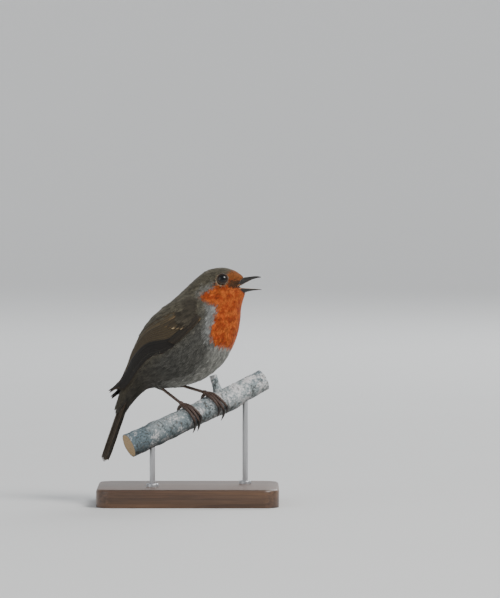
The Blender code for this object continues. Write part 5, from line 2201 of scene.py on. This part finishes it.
@dataclass(frozen=True)
class EyePair:
    """The two eyes and the lids round them.

    Attributes:
        body, eyes: The head that they sit in, and where.
        bulge: How far the cornea stands out from the ball, and the angle over which it does.
        inset: How much smaller the ball is than its socket's own radius.
        lid: Distance from the eye's middle and rise of the lid's section, from the ball round.
        almond: How much longer the opening is than high.
        beads: How many beads the lid's rim has.
    """

    body: Body
    eyes: Eyes
    bulge: tuple[float, float] = (0.10, 0.52)
    inset: float = 0.06
    lid: tuple[tuple[float, float], ...] = (
        (2.58, -0.30), (2.68, 0.02), (2.76, 0.10), (2.86, 0.04), (2.98, -0.25), (3.35, -1.0),
        (3.8, -2.0), (2.8, -1.6), (2.58, -0.30))
    almond: float = 1.03
    beads: int = 30

    def axes(self, side: Side) -> Array:
        """Directions out of the eye, forward along the face, and up across it."""
        forward, up = self.eyes.place
        step = 0.8
        spots = [(forward + a, up + b) for a, b in ((-step, 0), (step, 0), (0, -step), (0, step))]
        width = [float(self.body.half_width(*spot)) for spot in spots]
        ahead = np.array([2 * step, side.value * (width[1] - width[0]), 0.0])
        rise = np.array([0.0, side.value * (width[3] - width[2]), 2 * step])
        out = unit(np.cross(ahead, rise))
        out = out if out[1] * side.value > 0 else -out
        ahead = unit(ahead)
        return np.stack([out, ahead, unit(np.cross(out, ahead)) * side.value])

    def ball(self, side: Side) -> Piece:
        """Makes an eyeball with its cornea."""
        axes, centre = self.axes(side), self.eyes.centre(self.body, side)
        polar, turn = grid(np.linspace(0.02, math.pi - 0.05, 60), circle(64))
        height, spread = self.bulge
        radius = self.eyes.radius - self.inset + height * np.exp(-((polar / spread) ** 2))
        wide = np.sin(polar)
        local = np.stack([np.cos(polar), wide * np.cos(turn), wide * np.sin(turn)], -1)
        rings = centre + (local * radius[..., None]) @ axes
        layer = np.stack([polar / 1.2, turn / (2 * np.pi), 0 * polar, 0 * polar], -1)
        name = f"eyeball_{side.name.lower()}"
        return tube_shell(to_model(rings), {"eye": layer}).turned_out().build(name)

    def rim(self, side: Side) -> Piece:
        """Makes the lids: a thin beaded rim on the ball, with a skirt down under the feathers."""
        axes, centre = self.axes(side), self.eyes.centre(self.body, side)
        count = 24
        profile = read(self.lid, count)
        turn, step = grid(circle(120), np.arange(count))
        out, rise = profile[step, 0], profile[step, 1]
        crest = np.exp(-(((out - self.lid[2][0]) / 0.2) ** 2)) * ease(rise, -0.3, 0.0)
        rise = rise + 0.035 * crest * np.sin(turn * self.beads)
        flat = np.stack([self.almond * out * np.cos(turn), out * np.sin(turn)], -1)
        rings = centre + np.stack([self.eyes.sunk + rise, flat[..., 0], flat[..., 1]], -1) @ axes
        faces = grid_faces(len(turn) + 1, count, True) % turn.size
        made = Shell(to_model(rings).reshape(-1, 3), [faces]).turned_out()
        return made.build(f"eyelid_{side.name.lower()}")


# ---------------------------------------------------------------- legs
@dataclass(frozen=True)
class Scales:
    """The finish of the legs and feet: thin brown scales with darker seams."""

    brown: Colour = (0.072, 0.043, 0.032)
    seam: Colour = (0.014, 0.009, 0.008)
    pad: Colour = (0.11, 0.075, 0.05)

    def paint(self, name: str) -> Material:
        """Makes the material from the seams, the pads and the length."""
        paint = Paint(name)
        seam, pad = paint.carried("leg", "x"), paint.carried("leg", "y")
        cloud, fine = paint.noise(600.0, 2.0), paint.noise(3500.0, 2.0)
        colour = paint.mix(pad * 0.7, self.brown, self.pad)
        colour = paint.mix(seam, colour, self.seam)
        colour = paint.shaded(colour, 0.55 + cloud * 0.6 + fine * 0.3)
        return paint.done(Base_Color=colour, Roughness=0.42 + fine * 0.2,
                          Normal=paint.bump(fine, 0.00005, 0.7), Specular_IOR_Level=0.45)


@dataclass(frozen=True)
class Talon:
    """The finish of the claws: dark horn, paler where they are worn thin."""

    root: Colour = (0.016, 0.012, 0.010)
    tip: Colour = (0.034, 0.026, 0.021)

    def paint(self) -> Material:
        """Makes the material."""
        paint = Paint("claw")
        grain = paint.noise(1800.0, 2.0)
        colour = paint.mix(paint.carried("leg", "z").eased(0.3, 1.0), self.root, self.tip)
        return paint.done(Base_Color=paint.shaded(colour, 0.7 + grain * 0.6),
                          Roughness=0.30 + grain * 0.2, Normal=paint.bump(grain, 0.00003, 0.5))


@dataclass(frozen=True)
class Toe:
    """A toe wrapped on the branch.

    Attributes:
        turns: Angle round the branch where it leaves the ankle and where its pad ends.
        shifts: How far along the branch it starts and ends from the ankle.
        claw: The claw's reach along the branch and downward.
        scutes: How many scales it has.
    """

    turns: tuple[float, float]
    shifts: tuple[float, float]
    claw: tuple[float, float]
    scutes: int = 10


@dataclass(frozen=True)
class Leg:
    """One leg, from the feathered end of the thigh to the claws.

    Attributes:
        branch, side: What it stands on, and on which side of the bird.
        station: Where on the branch it stands.
        heel: A point up the shank, which sets its direction.
        bare: How long the shank is between ankle and feathers.
        hidden: How much further it runs under them.
        toes: Its three front toes and its hind toe.
        gap: How far the toes' undersides stay clear of the bark.
        girths: A toe's radius at the ankle and at its claw.
        steps: How many points a toe has along it.
        claw: A claw's radius at its root, how late it thins, and its radius at the tip.
    """

    branch: Branch
    side: Side
    station: float
    heel: tuple[float, float, float]
    bare: float
    toes: tuple[Toe, ...]
    hidden: float = 1.6
    gap: float = 0.3
    girths: tuple[float, float] = (0.95, 0.62)
    steps: int = 60
    claw: tuple[float, float, float] = (0.86, 2.6, 0.05)

    def ankle(self) -> Array:
        """The middle of the joint between the shank and the toes, in the model's frame."""
        return self.branch.point(np.array(self.station), np.array(0.0), 2.3)

    def rise(self) -> Array:
        """The shank's direction, up from the ankle."""
        return unit(np.array(self.heel) - self.ankle())

    @staticmethod
    def _limb(path: Array, girth: Array, seams: int, pads: int, back: Array, share: Array,
              count: int = 20) -> Shell:
        """A scaled tube, with scales over its front and pads under it.

        Args:
            path: Its centre line.
            girth: Its radius at each point.
            seams: How many scales it has.
            pads: How many pads it has.
            back: The direction of its padded side at each point.
            share: How far along its whole length each point lies.
        """
        ahead = unit(np.gradient(path, axis=0))
        under = unit(back - ahead * np.sum(back * ahead, -1, keepdims=True))
        beside = np.cross(ahead, under)
        turn = circle(count)
        front = ease(-np.cos(turn), -0.35, 0.25)[None]
        phase = np.mod(share * seams, 1.0)[:, None]
        groove = np.exp(-((np.minimum(phase, 1 - phase) / 0.10) ** 2))
        bead = (0.5 - 0.5 * np.cos(2 * np.pi * share * pads))[:, None] if pads else 0.0
        size = girth[:, None] * (1.0 - 0.11 * groove * front + 0.10 * front * phase)
        size = size * (1.0 + 0.20 * bead * ease(np.cos(turn), 0.0, 0.9)[None])
        rings = path[:, None] + spokes(under, beside, turn) * size[..., None]
        layer = np.stack([groove * front * 0.9, ease(np.cos(turn), 0.0, 0.6)[None] + 0 * groove,
                          share[:, None] + 0 * size, 0 * size], -1)
        return tube_shell(rings, {"leg": layer}).turned_out()

    def _toe_path(self, toe: Toe) -> tuple[Array, Array]:
        """A toe's centre line over the bark, and the way from it to the bark."""
        share = np.linspace(0, 1, self.steps)
        turn = np.radians(toe.turns[0] + (toe.turns[1] - toe.turns[0]) * share)
        shift = self.station + toe.shifts[0] + (toe.shifts[1] - toe.shifts[0]) * share
        over = self.branch.point(shift, turn, self.girths[0] + self.gap * 0.5 + 0.35 * (1 - share))
        under = self.branch.core(shift) - over
        lead = self.ankle() + (over[0] - self.ankle()) * np.linspace(0, 0.85, 6)[:, None]
        path = np.concatenate([lead, over])
        for _ in range(6):
            path[1:-1] = 0.25 * path[:-2] + 0.5 * path[1:-1] + 0.25 * path[2:]
        return path, np.concatenate([np.repeat(under[:1], 6, 0), under])

    def foot(self) -> Piece:
        """Makes the shank, the ankle and the four toes as one piece."""
        shells = []
        ankle, rise = self.ankle(), self.rise()
        share = np.linspace(0, 1, 110)
        path = ankle + rise * (share * (self.bare + self.hidden))[:, None]
        girth = 0.80 + 0.55 * ease(share, 0.14, 0.0) + 0.42 * ease(share, 0.86, 1.0)
        back = np.tile(np.array([-0.95, 0.1, -0.3]), (len(share), 1))
        shells.append(self._limb(path, girth, 8, 0, back, share, 24))
        for toe in self.toes:
            path, under = self._toe_path(toe)
            share = np.linspace(0, 1, len(path))
            girth = self.girths[0] + (self.girths[1] - self.girths[0]) * share
            girth = girth * (1.0 - 0.35 * ease(share, 0.94, 1.0))
            shells.append(self._limb(path, girth, toe.scutes, 4, under, share))
        return Shell.joined(shells).build(f"leg_{self.side.name.lower()}")

    def claws(self) -> Piece:
        """Makes the four curved claws as one piece."""
        axis, shells = self.branch.frame()[0], []
        for toe in self.toes:
            path, under = self._toe_path(toe)
            heading = unit(path[-1] - path[-4])
            start = path[-1] - heading * 0.25
            drift, drop = toe.claw
            end = path[-1] + axis * drift + np.array([0.0, 0.0, 1.25 * drop])
            bend = start + heading * 0.62 * abs(drop)
            s = np.linspace(0, 1, 26)[:, None]
            line = start * (1 - s) ** 2 + bend * 2 * s * (1 - s) + end * s**2
            girth = self.claw[0] * (1.0 - s[:, 0] ** self.claw[1]) + self.claw[2]
            back = np.tile(under[-1], (len(s), 1))
            shells.append(self._limb(line, girth, 0, 0, back, s[:, 0], 14))
        return Shell.joined(shells).build(f"claws_{self.side.name.lower()}")


@dataclass(frozen=True)
class Thigh:
    """The feathered end of a thigh, as a surface that small feathers grow on.

    Attributes:
        leg: The leg that it ends.
        girths: Its radius at the belly and at the cuff.
        length: How far it reaches from the cuff into the belly.
        tufts: How many feathers it has.
        span: Between which shares of the length they stand.
    """

    leg: Leg
    girths: tuple[float, float] = (5.0, 1.5)
    length: float = 9.0
    tufts: int = 260
    span: tuple[float, float] = (0.45, 0.97)

    def point(self, along: Array, across: Array, lift: Array | float = 0.0) -> Array:
        """A point of the thigh: along runs from 0 in the belly to 1 at the cuff."""
        rise = self.leg.rise()
        cuff = self.leg.ankle() + rise * self.leg.bare
        side = unit(np.cross(rise, np.array([0.0, 1.0, 0.0])))
        other = np.cross(rise, side)
        along, across = both(along, across)
        taper = np.maximum(along, 0.0) ** 0.85
        radius = self.girths[0] + (self.girths[1] - self.girths[0]) * taper + lift
        line = cuff + rise * (self.length * (1.0 - along))[..., None]
        around = side * np.cos(across)[..., None] + other * np.sin(across)[..., None]
        return from_model(line + around * radius[..., None])

    def roots(self, random: Random) -> Roots:
        """Spreads roots over the thigh."""
        count = self.tufts
        along = random.uniform(*self.span, count)
        across = random.uniform(0, 2 * np.pi, count)
        length = 3.6 - 1.2 * along
        place = np.stack([0.03 + 0.9 * along, 0.03 + 0.9 * across / (2 * np.pi)], -1)
        return Roots(along, across, random.normal(0, 0.08, count), length, 0.34 * length,
                     np.full(count, -0.8), random.uniform(-0.2, 0.1, count), place)


def legs(branch: Branch) -> list[Leg]:
    """The two legs as they stand on the branch."""
    right = (((14, 90), (1.7, 4.6), (0.2, -3.4)), ((18, 108), (0.8, 2.8), (-0.9, -4.4)),
             ((14, 104), (-0.7, 0.4), (-1.5, -4.6)), ((-16, -92), (-0.8, -1.8), (-0.8, -4.0)))
    left = (((14, 92), (-0.6, 1.2), (-1.2, -4.2)), ((18, 112), (0.6, 3.4), (-1.8, -4.4)),
            ((14, 104), (1.7, 5.6), (-0.4, -3.2)), ((-16, -92), (-0.9, -2.2), (-0.8, -4.0)))
    right, left = (tuple(Toe(*numbers) for numbers in toes) for toes in (right, left))
    return [Leg(branch, Side.RIGHT, -8.0, (-23.0, -5.2, 70.4), 15.2, right),
            Leg(branch, Side.LEFT, 7.55, (-12.65, 9.9, 67.2), 15.6, left)]


def main() -> None:
    """Builds the model's pieces in order and reports each one."""
    logging.basicConfig(level=logging.INFO, format="%(message)s")
    random = np.random.default_rng(20260418)
    Studio().build()
    body, eyes = Body(), Eyes()
    markings = Markings(body, eyes)
    branch, plumage = Branch(), Plumage()
    form = Skin(body, eyes, markings)
    skin = dressed(form.build(), plumage.paint("skin", skin=True), Slot.FEATHERS)
    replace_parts(skin, "head", "neck", "trunk", "tail_coverts", "thigh_left", "thigh_right")
    feathers = plumage.paint("small_feathers")
    coat = Coat(markings, Tuft())
    for piece in BodyCoat(form, coat).build(random):
        dressed(piece, feathers, Slot.FEATHERS)

    flight = Flight().paint()
    for side in Side:
        wing = WingFeathers(Wing(body, side), coat)
        large = dressed(wing.large(random), flight, Slot.FLIGHT)
        name = side.name.lower()
        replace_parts(large, *(f"wing_{part}_{name}"
                             for part in ("coverts", "secondaries", "primaries")))
        dressed(wing.small(random), feathers, Slot.FEATHERS)
    tail = dressed(Tail().build(random), flight, Slot.FLIGHT)
    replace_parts(tail, "tail")

    bill, horn = Bill(), Horn().paint("bill")
    for name in ("bill_upper", "bill_lower"):
        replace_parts(dressed(bill.half(name), horn, Slot.BILL), name)
    mouth = Horn().paint("mouth")
    dressed(bill.lining(), mouth, Slot.MOUTH)
    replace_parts(dressed(bill.tongue_piece(), mouth, Slot.MOUTH), "tongue")
    dressed(bill.bristles(random), horn, Slot.BILL)
    pair, glass, lids = EyePair(body, eyes), Glass().paint(), Lids().paint()
    for side in Side:
        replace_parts(dressed(pair.ball(side), glass, Slot.EYE), f"eye_{side.name.lower()}")
        dressed(pair.rim(side), lids, Slot.FEATHERS)

    scales, talon = Scales().paint("leg_skin"), Talon().paint()
    for leg in legs(branch):
        name = leg.side.name.lower()
        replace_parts(dressed(leg.foot(), scales, Slot.LEG), f"tarsus_{name}", f"foot_{name}")
        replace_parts(dressed(leg.claws(), talon, Slot.CLAW),
                    *(f"claw_{k}_{name}" for k in range(1, 5)))
        thigh = Thigh(leg)
        tufts = coat.lay(thigh, thigh.roots(random), random).build(f"thigh_tufts_{name}")
        dressed(tufts, feathers, Slot.FEATHERS)

    wood = dressed(branch.build(random), Bark().paint(), Slot.BARK)
    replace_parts(wood, "perch")
    stand = Stand(branch)
    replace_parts(dressed(stand.base(), Walnut().paint(), Slot.WOOD), "stand_base")
    steel = Steel().paint()
    for rod, node in zip(stand.rods(), ("stand_rod_low", "stand_rod_high")):
        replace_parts(dressed(rod, steel, Slot.METAL), node)


if __name__ == "__main__":
    main()
